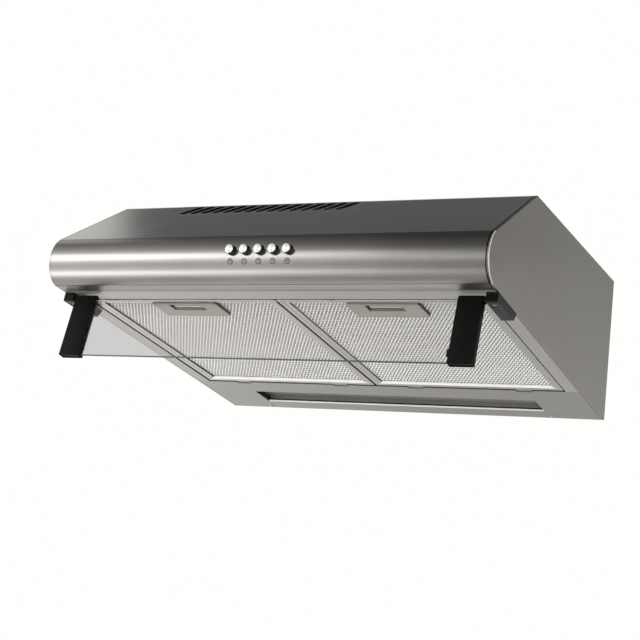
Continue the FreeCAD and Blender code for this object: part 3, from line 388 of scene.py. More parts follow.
def patterned(name, group, pattern, depth):
    """A finish that takes its colour, roughness and relief from a pattern group."""
    finish, tree, shader, place = new_finish(name)
    look = add_node(tree, "Group", {}, node_tree=group)
    for value, socket in zip((place, *pattern), look.inputs):
        wire(tree, value, socket)
    wire(tree, look.outputs["Colour"], shader.inputs["Base Color"])
    wire(tree, look.outputs["Roughness"], shader.inputs["Roughness"])
    if depth:
        relief(tree, shader, look.outputs["Height"], depth)
    return finish


def metal_sheet(name, grain, dark, light, low, high, depth=0.0, metallic=1.0):
    """A brushed or rolled metal, with its grain along the axes and the range of its roughness."""
    finish = patterned(name, sheet_group, (grain, dark, light, low, high), depth)
    opened(finish)[1].inputs["Metallic"].default_value = metallic
    return finish


front_steel = metal_sheet(
    "front_steel", (14, 1500, 1500), (0.47, 0.455, 0.43), (0.53, 0.515, 0.49), 0.13, 0.2, 0.00001)

# just above the knee the brushing is coarser, and reflects the arms only softly
tree, shader, place = opened(front_steel)
height = add_node(tree, "SeparateXYZ", {0: place}).outputs["Z"]
coarser = spread(tree, height, 0.30, 0.0, -0.0915, -0.0800)
brushing = shader.inputs["Roughness"].links[0].from_socket
wire(tree, math_node(tree, "ADD", brushing, coarser), shader.inputs["Roughness"])
# a near-black finish that paints the shade in the slots and at the knee
slot_and_knee_shade = metal_sheet(
    "slot_and_knee_shade", (300, 300, 300), (0.03, 0.03, 0.028), (0.06, 0.06, 0.056), 0.45, 0.6)

# the profile at the left end, from the flange at the top to the lip inside
top_flange, lip_depth, lip_height = 0.016, 0.019, 0.008
left = Vector((-left_half, 0, 0))
along = Vector((0, math.cos(underside_slope), -math.sin(underside_slope)))
up = Vector((0, -along.z, along.y))
bm = bmesh.new()
start = bm.verts.new((-left_half, top_edge.y + top_flange, top_edge.z - sheet))
bend = Vector((-left_half, top_edge.y - sheet / math.tan(slope_angle), top_edge.z - sheet))
vert = bulge_from(bm, run_to(bm, start, bend, crease + left), left, 44)
lip = knee + left + along * lip_depth
run_to(bm, vert, lip, lip + up * lip_height)
wide = bmesh.ops.extrude_edge_only(bm, edges=bm.edges[:])["geom"]
bmesh.ops.translate(bm, verts=verts_of(wide), vec=(left_half + right_half, 0, 0))
bmesh.ops.recalc_face_normals(bm, faces=bm.faces)
folds = [edge for edge in bm.edges if len(edge.link_faces) == 2 and edge.calc_face_angle() > 0.4]
round_over(bm, folds, 1.2 * mm, 4)
front_face = max(bm.faces, key=lambda face: -face.calc_center_median().y)
if front_face.normal.y > 0:
    bmesh.ops.reverse_faces(bm, faces=bm.faces)
bmesh.ops.solidify(bm, geom=bm.faces[:], thickness=sheet)

slot_count, slot_pitch, slot_middle, slot_lean = 15, 0.0166, -0.0625, math.radians(-22)
slot_radius, slot_reach, slots_below_top, slots_from, punch = 0.0056, 0.0139, 0.023, 0.1, 6 * mm
cutter = bmesh.new()
for index in range(slot_count):
    middle = slot_middle + (index - (slot_count - 1) / 2) * slot_pitch
    seat = on_slope @ Matrix.Translation((middle, slope_length - slots_below_top, 0))
    blank = bmesh.ops.create_circle(cutter, cap_ends=True, radius=slot_radius, segments=20)["verts"]
    for vert in blank:
        vert.co.y += math.copysign(slot_reach, vert.co.y) if abs(vert.co.y) > 1e-6 else 0
    bmesh.ops.translate(cutter, verts=blank, vec=(0, 0, -punch))
    lifted = push_out(cutter, list({face for vert in blank for face in vert.link_faces}), (0, 0, 2 * punch))
    bmesh.ops.transform(cutter, matrix=seat @ Matrix.Rotation(slot_lean, 4, "Z"), verts=blank + lifted)
buttons_middle, button_pitch, button_z, hole_radius = 0.009, 0.0194, -0.057, 0.0064
button_places = [buttons_middle + (number - 2) * button_pitch for number in range(5)]
for x in button_places:
    rod(cutter, hole_radius, 0.05, 48, seated((x, crease.y, button_z), "X", quarter_turn))
fascia = cut_away(bm, cutter)
slope_along = Vector((0, math.cos(slope_angle), math.sin(slope_angle)))
slope_normal = Vector((0, -slope_along.z, slope_along.y))

# the walls of the slots and the crisp knee get painted shade: a near-black finish for the shade inside the
# slots and in the fold
for face in fascia.faces:
    middle = face.calc_center_median()
    by_slots = slots_from < (middle - crease).dot(slope_along) < slope_length - sheet
    at_knee = (middle.yz - knee.yz).length < 0.9 * mm
    if at_knee or (by_slots and abs(face.normal.dot(slope_normal)) < 0.3):
        face.material_index = 1
finished(fascia, "fascia_sheet", "hood", [front_steel, slot_and_knee_shade], "front_fascia", 3)

# a low bead is pressed into the sheet round the slots
bead_length, bead_width, bead_corner, bead_below_top = 0.290, 0.043, 0.008, 0.0235
bm = bmesh.new()
plate = bmesh.ops.create_grid(bm, x_segments=1, y_segments=1, size=0.5)["verts"]
bmesh.ops.scale(bm, vec=(bead_length, bead_width, 1), verts=plate)
round_over(bm, plate, bead_corner, 8, "VERTICES")
middle = bm.faces[:]
bmesh.ops.inset_region(bm, faces=middle, thickness=1.1 * mm, use_even_offset=True, use_boundary=True)
bmesh.ops.delete(bm, geom=middle, context="FACES_ONLY")
bmesh.ops.solidify(bm, geom=bm.faces[:], thickness=0.25 * mm)
bmesh.ops.recalc_face_normals(bm, faces=bm.faces)
seat = on_slope @ Matrix.Translation((slot_middle, slope_length - bead_below_top, 0.1 * mm))
bmesh.ops.transform(bm, matrix=seat, verts=bm.verts)
finished(bm, "slot_bead", "hood", [front_steel])

# Side panels. Flat pressed stainless sheets whose edge follows the hood's
# profile, with a shallow lip turned in all round. They close both ends, and a
# small spot-weld dimple shows where the top bracket is fixed inside.
side_x, wall_z = 0.300, -0.150
panel_depth = 3.0 * mm
dimple_y, dimple_z = -0.180, 0.031
hands = {"right": 1, "left": -1}


def put_in_place(bm, side, matrix=Matrix()):
    """Moves a right-hand piece to its place, and makes it the left-hand one where side is -1."""
    bmesh.ops.transform(bm, matrix=matrix, verts=bm.verts)
    if side < 0:
        bmesh.ops.scale(bm, vec=(-1, 1, 1), verts=bm.verts)
        bmesh.ops.reverse_faces(bm, faces=bm.faces)


side_steel = metal_sheet(
    "side_steel", (90, 6, 90), (0.442, 0.422, 0.39), (0.474, 0.454, 0.422), 0.26, 0.32, 0.000004)
tree, shader, place = opened(side_steel)
spot = add_node(tree, "SeparateXYZ", {0: place}).outputs
flat = add_node(tree, "CombineXYZ", {"X": spot["Y"], "Y": spot["Z"]}).outputs[0]
near = add_node(tree, "VectorMath", {0: flat, 1: (dimple_y, dimple_z, 0)}, operation="DISTANCE")
relief(tree, shader, spread(tree, near.outputs["Value"], 0.0, 1.0, 0.0010, 0.0024), 0.0005)
# a lighter finish that paints a highlight on the rounded edge
rolled_edge_highlight = metal_sheet(
    "rolled_edge_highlight", (90, 6, 90), (0.66, 0.64, 0.61), (0.74, 0.72, 0.69), 0.3, 0.4, 0.000004, 0.4)

for label, side in hands.items():
    bm = bmesh.new()
    inner_x = Vector((side_x - panel_depth, 0, 0))
    start = bm.verts.new(Vector((0, 0, wall_z)) + inner_x)
    vert = run_to(bm, start, Vector((0, 0, top_edge.z)) + inner_x, top_edge + inner_x, crease + inner_x)
    vert = bulge_from(bm, vert, inner_x, 36)
    bmesh.ops.contextual_create(bm, geom=[vert, start])
    bmesh.ops.contextual_create(bm, geom=bm.edges[:])
    push_out(bm, bm.faces[:], (panel_depth, 0, 0))
    bmesh.ops.recalc_face_normals(bm, faces=bm.faces)
    hollow = [face for face in bm.faces if face.normal.x < -0.9]
    bmesh.ops.inset_region(bm, faces=hollow, thickness=sheet, use_even_offset=True)
    push_out(bm, hollow, (panel_depth - sheet, 0, 0))
    bmesh.ops.delete(bm, geom=hollow, context="FACES_ONLY")
    bmesh.ops.recalc_face_normals(bm, faces=bm.faces)
    outer = side_x - 0.1 * mm
    rim = [edge for edge in bm.edges if all(v.co.x > outer for v in edge.verts)]
    round_over(bm, [edge for edge in rim if edge.calc_face_angle(0) > 1], 1.1 * mm, 4)

    # the rounded edge at the front, below the crease, gets a lighter finish: a painted highlight where it
    # catches the light
    for face in bm.faces:
        spot = face.calc_center_median()
        if 0.15 < face.normal.x < 0.97 and spot.x > 0.298 and spot.y < -0.34 and spot.z < -0.03:
            face.material_index = 1
    put_in_place(bm, side)
    finished(bm, "side_sheet_" + label, "hood", [side_steel, rolled_edge_highlight],
             "side_panel_" + label, 20)

# Body shell. Top and back of the case in one coated sheet, bent over at the
# top edge and under at the foot. It has the duct hole, the cable hole, two
# holes for the wall screws and four for screws into a cabinet above.


def dressed_copy(node, body, finishes, edge=0.0, sharp=30, segments=2):
    """A merged, smoothed copy of a CAD node, its hard edges broken by a small bevel."""
    bm = bmesh.new()
    bm.from_mesh(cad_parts[node].data)
    bmesh.ops.remove_doubles(bm, verts=bm.verts, dist=2e-6)
    bmesh.ops.dissolve_limit(bm, angle_limit=math.radians(0.4), verts=bm.verts, edges=bm.edges)
    piece = finished(bm, node + "_dressed", body, finishes, node, sharp)
    if edge:
        soften = piece.modifiers.new("edges", "BEVEL")
        soften.width = edge
        soften.segments = segments
        soften.limit_method = "ANGLE"
        soften.angle_limit = math.radians(35)
        soften.harden_normals = True
        soften.use_clamp_overlap = True
    return piece


# moulded plastic, rubber and coatings: a fine grain, and a tone that wanders a little
moulded_group, inside, outside = pattern_group("moulded_surface", ("Texture", "Float"))
grain = noise_node(moulded_group, inside["Place"], inside["Texture"], 2.0)
clouds = noise_node(moulded_group, inside["Place"], 22.0, 3.0, 0.6)
specks = noise_node(moulded_group, inside["Place"], 240.0, 2.0, 0.6)
specks = math_node(moulded_group, "MULTIPLY", specks, 0.3)
tone = math_node(moulded_group, "MULTIPLY_ADD", clouds, 0.7, specks)
close_group(moulded_group, inside, outside, tone, grain)


def moulded(name, dark, light, low, high, texture=1800.0, depth=0.00002, specular=0.5):
    """A moulded or coated surface, with the fineness of its grain and the range of its roughness."""
    finish = patterned(name, moulded_group, (texture, dark, light, low, high), depth)
    opened(finish)[1].inputs["Specular IOR Level"].default_value = specular
    return finish


case_sheet = moulded("case_sheet", (0.3, 0.292, 0.278), (0.345, 0.336, 0.32), 0.38, 0.5, 900.0, 0.00003)
dressed_copy("body_shell", "hood", [case_sheet], 0.3 * mm)

# Underside tray. A coated sheet with a rail along the front and a strip down
# each side, its edges turned up to stiffen it. The two filters lie in its
# opening, and the hinge blocks are screwed under its sides.
tray_sheet = metal_sheet(
    "tray_sheet", (16, 700, 700), (0.46, 0.448, 0.424), (0.52, 0.507, 0.482), 0.32, 0.42, 0.00001, 0.65)
# a near-black finish that paints the shade on walls in narrow gaps
gap_wall_shade = metal_sheet("gap_wall_shade", (60, 60, 60), (0.03, 0.029, 0.027), (0.05, 0.048, 0.045), 0.5, 0.6)
tray = dressed_copy("underside_tray", "hood", [tray_sheet, gap_wall_shade], 0.5 * mm, segments=3)

# the walls beside the filters are in the dark, so they get painted shade
for polygon in tray.data.polygons:
    if abs(polygon.normal.x) > 0.9 and -0.285 < polygon.center.x < 0.26:
        polygon.material_index = 1

# Rear strip. The sheet between the filters and the wall, held by two screws,
# with a long window whose edges are folded up round the light.
strip_sheet = metal_sheet(
    "strip_sheet", (16, 700, 700), (0.44, 0.429, 0.408), (0.5, 0.488, 0.466), 0.32, 0.44, 0.00001, 0.9)
# a near-white finish that paints a highlight on edges that face the front
hem_gleam = metal_sheet(
    "hem_gleam", (60, 60, 60), (0.92, 0.91, 0.88), (0.98, 0.97, 0.95), 0.3, 0.4, 0.0, 0.0)
strip = dressed_copy("rear_strip", "hood", [strip_sheet, hem_gleam], 0.5 * mm, segments=3)

# the rounded edges that face the front get a painted highlight
for polygon in strip.data.polygons:
    if -0.97 < polygon.normal.y < -0.2:
        polygon.material_index = 1

# Light. A ribbed, frosted cover lies in the window over a folded pan, with
# two candle bulbs screwed into holders that stand on the ends of the pan. A
# black bead runs along the window's sides and back as painted shadow for the
# gap there, in front of its hem, which is painted bright as a highlight.
cover_plastic = moulded("light_cover", (0.165, 0.162, 0.155), (0.205, 0.202, 0.193), 0.3, 0.42, 700.0, 0.0)
tree, shader, place = opened(cover_plastic)
ribs = add_node(tree, "TexWave", {"Scale": 75.0, "Vector": place}, bands_direction="X")
relief(tree, shader, ribs.outputs["Fac"], 0.0003)
dressed_copy("light_cover", "hood", [cover_plastic], 0.5 * mm)


def block(bm, low, high, matrix=None):
    """Adds a box between two corners, and gives back its vertices."""
    low, high = Vector(low), Vector(high)
    made = bmesh.ops.create_cube(bm, size=1.0)["verts"]
    bmesh.ops.scale(bm, vec=high - low, verts=made)
    bmesh.ops.translate(bm, vec=(low + high) / 2, verts=made)
    if matrix:
        bmesh.ops.transform(bm, matrix=matrix, verts=made)
    return made


gap_shadow_bead = moulded(
    "gap_shadow_bead", (0.01, 0.01, 0.009), (0.018, 0.018, 0.016), 0.55, 0.7, 1200.0, 0.00002, 0.2)
bead_runs = [
    ((-0.2218, 0.4712, 0.0020), (0.2218, 0.4719, 0.0042)),
    ((-0.2219, 0.4243, 0.0008), (-0.2213, 0.4712, 0.0085)),
    ((0.2213, 0.4243, 0.0008), (0.2219, 0.4712, 0.0085)),
]
hem_runs = [((-0.2210, 0.4706, 0.0001), (0.2210, 0.4719, 0.0021))]
# the black bead is painted shadow in the window's gap, and the hem strip is a painted highlight
for name, runs, slot, finish in (
    ("window_shadow_bead", bead_runs, "gasket_rubber", gap_shadow_bead),
    ("window_hem", hem_runs, "tray_sheet", hem_gleam),
):
    bm = bmesh.new()
    for low, high in runs:
        block(bm, low, high)
    round_over(bm, bm.edges[:], 0.2 * mm, 2)
    bmesh.ops.transform(bm, matrix=under, verts=bm.verts)
    finished(bm, name, "hood", [finish])

zinc_sheet, tree, shader, place = new_finish("zinc_sheet")
spangle = add_node(tree, "TexVoronoi", {"Scale": 140.0, "Vector": place}).outputs["Color"]
flakes = add_node(tree, "SeparateColor", {0: spangle}).outputs[0]
clouds = noise_node(tree, place, 18.0, 3.0, 0.6)
tone = math_node(tree, "MULTIPLY_ADD", flakes, 0.5, math_node(tree, "MULTIPLY", clouds, 0.5))
wire(tree, blend_colour(tree, tone, (0.42, 0.43, 0.44), (0.62, 0.63, 0.64)), shader.inputs["Base Color"])
wire(tree, spread(tree, tone, 0.30, 0.50, 0.2, 0.8), shader.inputs["Roughness"])
shader.inputs["Metallic"].default_value = 0.9
dressed_copy("light_housing", "hood", [zinc_sheet], 0.4 * mm)

holder_plastic = moulded("holder_plastic", (0.7, 0.68, 0.63), (0.78, 0.76, 0.71), 0.35, 0.5)
bulb_glass = moulded("bulb_glass", (0.88, 0.87, 0.83), (0.93, 0.92, 0.89), 0.3, 0.4, 2600.0, 0.0)
shader = opened(bulb_glass)[1]
shader.inputs["Subsurface Weight"].default_value = 0.3
shader.inputs["Subsurface Scale"].default_value = 4 * mm
for label in hands:
    dressed_copy("light_bulb_" + label, "hood", [bulb_glass], sharp=40)
    dressed_copy("bulb_holder_" + label, "hood", [holder_plastic], 0.6 * mm)

# Grease filters, left and right. Each is an aluminium frame folded from strip,
# mitred at its corners, with a turned-in hem round the mesh and two curled
# tabs at the back that rest on the rear strip.
filter_x = (0.001, 0.2773)
filter_y = (0.047, 0.378516)
filter_middle = ((filter_x[0] + filter_x[1]) / 2, (filter_y[0] + filter_y[1]) / 2)
inner_reach, outer_reach = 0.0020, 0.0021
dark_hem = (filter_x[0] + 0.0125, filter_x[1] - 0.0149)
bright_hem = (filter_y[1] - 0.0152, filter_y[1] - 0.0086)
tab_places, tab_half, tab_end = (-0.080, 0.080), 0.011, 0.386016
tab_low, tab_top, curl_radius = 0.00115, 0.00235, 1.2 * mm
frame_metal = metal_sheet(
    "filter_aluminium", (60, 60, 60), (0.66, 0.645, 0.615), (0.73, 0.715, 0.685), 0.24, 0.34, 0.00002)

# the strip's section, in mm inward from the frame's outline and up
frame_profile = [
    (3.0, 0.0), (8.2, 0.0), (8.9, 0.7), (14.4, 0.7), (15.0, 1.3), (15.0, 3.2), (14.2, 3.2), (14.2, 1.5),
    (8.4, 1.5), (7.7, 0.8), (3.8, 0.8), (3.8, 8.2), (8.0, 8.2), (8.0, 9.0), (3.0, 9.0),
]


def swept_frame(bm, profile, low, high):
    """Sweeps a closed profile round a rectangle with mitred corners."""
    (x0, y0), (x1, y1) = low, high
    rings = []
    for x, y, inward_x, inward_y in ((x0, y0, 1, 1), (x1, y0, -1, 1), (x1, y1, -1, -1), (x0, y1, 1, -1)):
        drawn = set(bm.edges)
        places = [Vector((x + inward_x * u * mm, y + inward_y * u * mm, w * mm)) for u, w in profile]
        start = bm.verts.new(places[0])
        last = run_to(bm, start, *places[1:])
        bmesh.ops.contextual_create(bm, geom=[last, start])
        rings.append([edge for edge in bm.edges if edge not in drawn])
    for first, second in zip(rings, rings[1:] + rings[:1]):
        bmesh.ops.bridge_loops(bm, edges=first + second)
    bmesh.ops.recalc_face_normals(bm, faces=bm.faces)


for label, side in hands.items():
    bm = bmesh.new()
    outer_x = filter_x[1] + (outer_reach if side > 0 else 0)
    swept_frame(bm, frame_profile, (filter_x[0] - inner_reach, filter_y[0]), (outer_x, filter_y[1]))
    lower = [edge for edge in bm.edges if all(v.co.z < 1e-6 for v in edge.verts)]
    round_over(bm, [edge for edge in lower if edge.calc_face_angle(0) > 1], 0.6 * mm, 3)

    # the hem's side walls get painted shade, and its rear edge a painted highlight
    for face in bm.faces:
        spot, normal = face.calc_center_median(), face.normal
        if abs(normal.x) > 0.9 and 1.3 * mm < spot.z < 3.2 * mm and dark_hem[0] < spot.x < dark_hem[1]:
            face.material_index = 1
        if spot.z < 3.2 * mm and bright_hem[0] < spot.y < bright_hem[1] and min(normal.y, normal.z) < -0.6:
            face.material_index = 2
    rim_faces = set(bm.faces)
    for shift in tab_places:
        x = filter_middle[0] + shift
        block(bm, (x - tab_half, filter_y[1] - 0.8 * mm, tab_low), (x + tab_half, tab_end, tab_top))
        rod(bm, curl_radius, 2 * tab_half, 16, seated((x, tab_end, tab_top), "Y", quarter_turn))
    for face in set(bm.faces) - rim_faces:
        face.material_index = 3
    put_in_place(bm, side, under)
    finished(bm, "filter_rim_" + label, "filter_" + label,
             [frame_metal, gap_wall_shade, hem_gleam, strip_sheet], "filter_frame_" + label, 18)

# Filter mesh. Layers of slit and stretched aluminium foil, each strand tilted
# out of the sheet, pressed together and held in the frame's hem. All of them
# are cut out round the handle. The back layer is painted near black, as
# shade between the strands.
mesh_foil = metal_sheet(
    "filter_mesh", (160, 160, 160), (0.86, 0.85, 0.82), (0.99, 0.98, 0.955), 0.28, 0.42, 0.0, 0.1)
# the back layer is near black: painted shade between the strands
foil_back_shade = metal_sheet(
    "filter_mesh_back_shade", (200, 200, 200), (0.022, 0.021, 0.02), (0.04, 0.039, 0.036), 0.4, 0.55)
foil_margin, handle_half, handle_end, front_rail = 0.0125, 0.0465, 0.104, 0.019
uneven = (0.32 * mm, 0.24 * mm, 0.12 * mm)


def stretched_foil(seed, columns, rows, level, strand, rise, thickness):
    """One layer of expanded foil: a net of diamonds with tilted strands."""
    chance = random.Random(seed)
    bm = bmesh.new()
    bmesh.ops.create_grid(bm, x_segments=columns, y_segments=rows, size=0.5)
    width = filter_x[1] - filter_x[0] - 2 * foil_margin
    length = filter_y[1] - filter_y[0] - 2 * foil_margin
    bmesh.ops.scale(bm, vec=(width, length, 1), verts=bm.verts)
    bmesh.ops.translate(bm, vec=(*filter_middle, level), verts=bm.verts)
    grid_edges = [edge for edge in bm.edges if len(edge.link_faces) == 2]
    hubs = bmesh.ops.poke(bm, faces=bm.faces[:])["verts"]
    for vert in bm.verts:
        for axis in range(3):
            vert.co[axis] += chance.uniform(-1, 1) * uneven[axis]
    bmesh.ops.translate(bm, vec=(0, 0, rise), verts=hubs)
    bmesh.ops.dissolve_edges(bm, edges=grid_edges, use_verts=False)
    hidden = []
    for face in bm.faces:
        spot = face.calc_center_median()
        at_handle = abs(spot.x - filter_middle[0]) < handle_half and spot.y < handle_end
        if at_handle or (rise > 0.5 * mm and spot.y < filter_y[0] + front_rail):
            hidden.append(face)
    bmesh.ops.delete(bm, geom=hidden, context="FACES")
    diamonds = bm.faces[:]
    bmesh.ops.inset_individual(bm, faces=diamonds, thickness=strand, use_even_offset=True)
    bmesh.ops.delete(bm, geom=diamonds, context="FACES_ONLY")
    bmesh.ops.recalc_face_normals(bm, faces=bm.faces)
    if thickness:
        bmesh.ops.solidify(bm, geom=bm.faces[:], thickness=thickness)
        bmesh.ops.recalc_face_normals(bm, faces=bm.faces)
    return bm


# each layer's seed, its diamonds across and along, its height, the width of its
# strands, their tilt and their thickness
for label, side in hands.items():
    for layer, finish, values in (
        ("front", mesh_foil, (12, 50, 36, 0.0036, 0.00074, 0.0008, 0.00035)),
        ("back", foil_back_shade, (11, 34, 50, 0.0056, 0.00200, 0.0002, 0.0)),
        ("top", mesh_foil, (10, 36, 54, 0.0066, 0.00090, 0.0009, 0.0003)),
    ):
        bm = stretched_foil(*values)
        put_in_place(bm, side, under)
        finished(bm, "foil_" + layer + "_" + label, "filter_" + label, [finish],
                 "filter_mesh_" + label, 20)

# Filter handle and latch. A moulded plate clipped into the front of each
# filter, with a deep pocket for two fingers. The latch bar inside it slides
# back against its spring and draws its tongue out of the front rail.
handle_plastic = moulded(
    "handle_plastic", (0.32, 0.307, 0.268), (0.358, 0.344, 0.302), 0.42, 0.55, 1500.0, 0.00003)
handle_pocket_shade = moulded(
    "handle_pocket_shade", (0.034, 0.032, 0.028), (0.05, 0.047, 0.042), 0.5, 0.62, 1500.0, 0.00003, 0.3)
latch_plastic = moulded("latch_plastic", (0.56, 0.54, 0.49), (0.62, 0.6, 0.55), 0.38, 0.5, 1500.0)
for label in hands:
    plate = dressed_copy("filter_handle_" + label, "filter_" + label,
                         [handle_plastic, handle_pocket_shade], 0.3 * mm)
    # the deep floor of the pocket and the plate's side walls get painted shade, a near-black finish
    for polygon in plate.data.polygons:
        deep = (under.inverted() @ polygon.center).z > 3 * mm and polygon.normal.z < -0.5
        if deep or abs(polygon.normal.x) > 0.5:
            polygon.material_index = 1
    dressed_copy("filter_latch_" + label, "latch_" + label, [latch_plastic], 0.3 * mm)

# Hinge blocks. Moulded dark plastic blocks under the tray's sides, each held
# by one screw and a peg, with a square cap pressed into the front end. The
# visor's pins turn in them.
block_plastic = moulded(
    "block_plastic", (0.012, 0.0115, 0.0105), (0.018, 0.0175, 0.016), 0.34, 0.46, 1400.0, 0.00004, 0.25)
cap_plastic = moulded(
    "cap_plastic", (0.0035, 0.0035, 0.003), (0.006, 0.006, 0.005), 0.28, 0.4, 1600.0, 0.00003, 0.1)
for label in hands:
    dressed_copy("hinge_block_" + label, "hood", [block_plastic], 0.6 * mm, segments=3)
    dressed_copy("hinge_cap_" + label, "hood", [cap_plastic], 0.4 * mm)

# Screws. Bright zinc pan-head screws with a cross recess: two in the hinge
# blocks, two by the wall in the rear strip and four round the duct collar.
screw_steel = metal_sheet(
    "screw_steel", (90, 90, 900), (0.52, 0.515, 0.5), (0.66, 0.655, 0.64), 0.2, 0.32, 0.00001)
head_profile = [(1.9, -1.75), (2.6, -1.55), (3.15, -1.05), (3.4, -0.35), (3.4, 0), (1.8, 0)]
head_top, shank_radius, cross_half, cross_width = -1.8 * mm, 1.8 * mm, 1.7 * mm, 0.35 * mm


def turned(bm, centre, axis, steps):
    """Turns a drawn half section into a closed body."""
    drawn = bm.verts[:] + bm.edges[:]
    bmesh.ops.spin(bm, geom=drawn, cent=centre, axis=axis, angle=2 * math.pi, steps=steps, use_merge=True)
    bmesh.ops.remove_doubles(bm, verts=bm.verts, dist=1e-6)


def pan_screw(bm, shank, matrix):
    """A pan-head screw pointing up from its seat at zero, with a crossed recess under its head."""
    screw = bmesh.new()
    outline = [(r * mm, 0, z * mm) for r, z in head_profile]
    run_to(screw, screw.verts.new((0, 0, head_top)), *outline, (shank_radius, 0, shank), (0, 0, shank))
    turned(screw, (0, 0, 0), (0, 0, 1), 28)
    for half_x, half_y in ((cross_half, cross_width), (cross_width, cross_half)):
        recess = bmesh.new()
        block(recess, (-half_x, -half_y, -2.4 * mm), (half_x, half_y, -0.7 * mm))
        screw = cut_away(screw, recess)
    bmesh.ops.transform(screw, matrix=matrix, verts=screw.verts)
    spare = bpy.data.meshes.new("spare")
    screw.to_mesh(spare)
    screw.free()
    bm.from_mesh(spare)
    bpy.data.meshes.remove(spare)


duct_middle_y, duct_screws_radius, top_z = -0.170, 0.068, 0.056
block_x, block_y, block_z, strip_x, strip_from_wall = 0.29155, 0.038, -0.0094, 0.228, 0.009
strip_y = math.hypot(underside_reach, underside_rise) - strip_from_wall
block_seats = [under @ Matrix.Translation((side * block_x, block_y, block_z)) for side in (-1, 1)]
wall_seats = [under @ Matrix.Translation((side * strip_x, strip_y, 0)) for side in (-1, 1)]
duct_seats = []
for quarter in range(4):
    around = math.radians(45 + 90 * quarter)
    x, y = duct_screws_radius * math.cos(around), duct_middle_y + duct_screws_radius * math.sin(around)
    duct_seats.append(seated((x, y, top_z), "X", math.pi))
for name, node, shank, seats in (
    ("block_screws", "hinge_screws", 0.0115, block_seats),
    ("wall_edge_screws", "strip_screws", 0.005, wall_seats),
    ("duct_screws", "collar_screws", 0.006, duct_seats),
):
    bm = bmesh.new()
    for seat in seats:
        pan_screw(bm, shank, seat)
    finished(bm, name, "hood", [screw_steel], node)

# Visor arms. Two moulded black channels that grip the ends of the glass,
# round at the pivot, hollowed at the foot, each with a small clip nose that
# keeps the glass in. They hang from the pins at a lean of 11 degrees.
pivot = under @ Vector((0, 0.030, -0.0077))
hang = seated(pivot, "X", math.radians(-11))
arm_x = (0.2505, 0.2810)
arm_half, arm_drop = 5.5 * mm, 0.081
glass_foot, glass_top = -arm_drop + 0.002, -0.0015
nose_middle, nose_slant = -arm_drop + 0.013, 0.002
boss_radius, boss_height = 4.7 * mm, 1.7 * mm
arm_plastic = moulded(
    "arm_plastic", (0.003, 0.003, 0.0028), (0.0055, 0.0055, 0.005), 0.26, 0.38, 2200.0, 0.00002, 0.05)
for label, side in hands.items():
    bm = bmesh.new()
    block(bm, (arm_x[0], -arm_half, -arm_drop), (arm_x[1], arm_half, arm_half))
    crown = []
    for edge in bm.edges:
        first, second = edge.verts
        if min(first.co.z, second.co.z) > arm_half - 1e-6 and abs(first.co.x - second.co.x) > 0.01:
            crown.append(edge)
    round_over(bm, crown, arm_half * 0.98, 10)
    foot = [face for face in bm.faces if face.normal.z < -0.9]
    bmesh.ops.inset_region(bm, faces=foot, thickness=2.0 * mm, use_even_offset=True)
    push_out(bm, foot, (0, 0, 1.0 * mm))
    bmesh.ops.delete(bm, geom=foot, context="FACES_ONLY")
    bmesh.ops.recalc_face_normals(bm, faces=bm.faces)
    round_over(bm, [edge for edge in bm.edges if edge.calc_face_angle(0) > 1.2], 0.7 * mm, 3)
    groove = bmesh.new()
    block(groove, (arm_x[0] - 0.005, -0.003, glass_foot), (arm_x[0] + 0.0125, 0.003, glass_top))
    bm = cut_away(bm, groove)
    clip_low = (arm_x[0] - 0.002, -0.0047, nose_middle - 0.006)
    clip_high = (arm_x[0] + 0.002, -0.003, nose_middle + 0.006)
    for vert in block(bm, clip_low, clip_high):
        if vert.co.x < arm_x[0]:
            vert.co.z += math.copysign(nose_slant, nose_middle - vert.co.z)
    rod(bm, boss_radius, boss_height, 32, seated((arm_x[1] + boss_height / 2, 0, 0), "Y", quarter_turn))
    put_in_place(bm, side, hang)
    finished(bm, "visor_channel_" + label, "visor", [arm_plastic], "visor_arm_" + label)

# Gaskets and pins. Soft black rubber strips between the glass and the arms,
# and plain steel pins pressed into the arms and turning in the blocks.
gasket_rubber = moulded(
    "gasket_rubber", (0.016, 0.016, 0.016), (0.028, 0.028, 0.027), 0.55, 0.7, 1200.0, 0.00004)
pin_steel = metal_sheet(
    "pin_steel", (40, 900, 900), (0.55, 0.545, 0.53), (0.66, 0.655, 0.64), 0.18, 0.28, 0.00001)
for label in hands:
    dressed_copy("glass_gasket_" + label, "visor", [gasket_rubber], 0.2 * mm)
    dressed_copy("hinge_pin_" + label, "visor", [pin_steel], 0.2 * mm)

# Visor glass. A pane of lightly smoked float glass 4 mm thick, its edges
# ground flat and its corners broken. Its side and lower edges get painted
# shade, a dark finish, and its top edge a painted highlight, a light one.
pane_half, pane_thick = 0.262, 0.002
smoked_glass, tree, shader, place = new_finish("visor_glass")
film = noise_node(tree, place, 14.0, 3.0, 0.6, (1.0, 3.0, 3.0))
tint = blend_colour(tree, spread(tree, film, 0.0, 1.0), (0.925, 0.915, 0.915), (0.955, 0.945, 0.945))
wire(tree, tint, shader.inputs["Base Color"])
wire(tree, spread(tree, film, 0.0, 0.004), shader.inputs["Roughness"])
shader.inputs["Transmission Weight"].default_value = 1.0
shader.inputs["IOR"].default_value = 1.4
pane_edge_shade = moulded("glass_edge", (0.028, 0.032, 0.03), (0.042, 0.047, 0.044), 0.18, 0.3, 2600.0, 0.0)
pane_top_highlight = moulded("glass_edge_top", (0.62, 0.62, 0.6), (0.72, 0.72, 0.7), 0.25, 0.35, 2600.0, 0.00001)
bm = bmesh.new()
block(bm, (-pane_half, -pane_thick, glass_foot), (pane_half, pane_thick, glass_top))
bmesh.ops.recalc_face_normals(bm, faces=bm.faces)
round_over(bm, bm.edges[:], 0.35 * mm, 2)
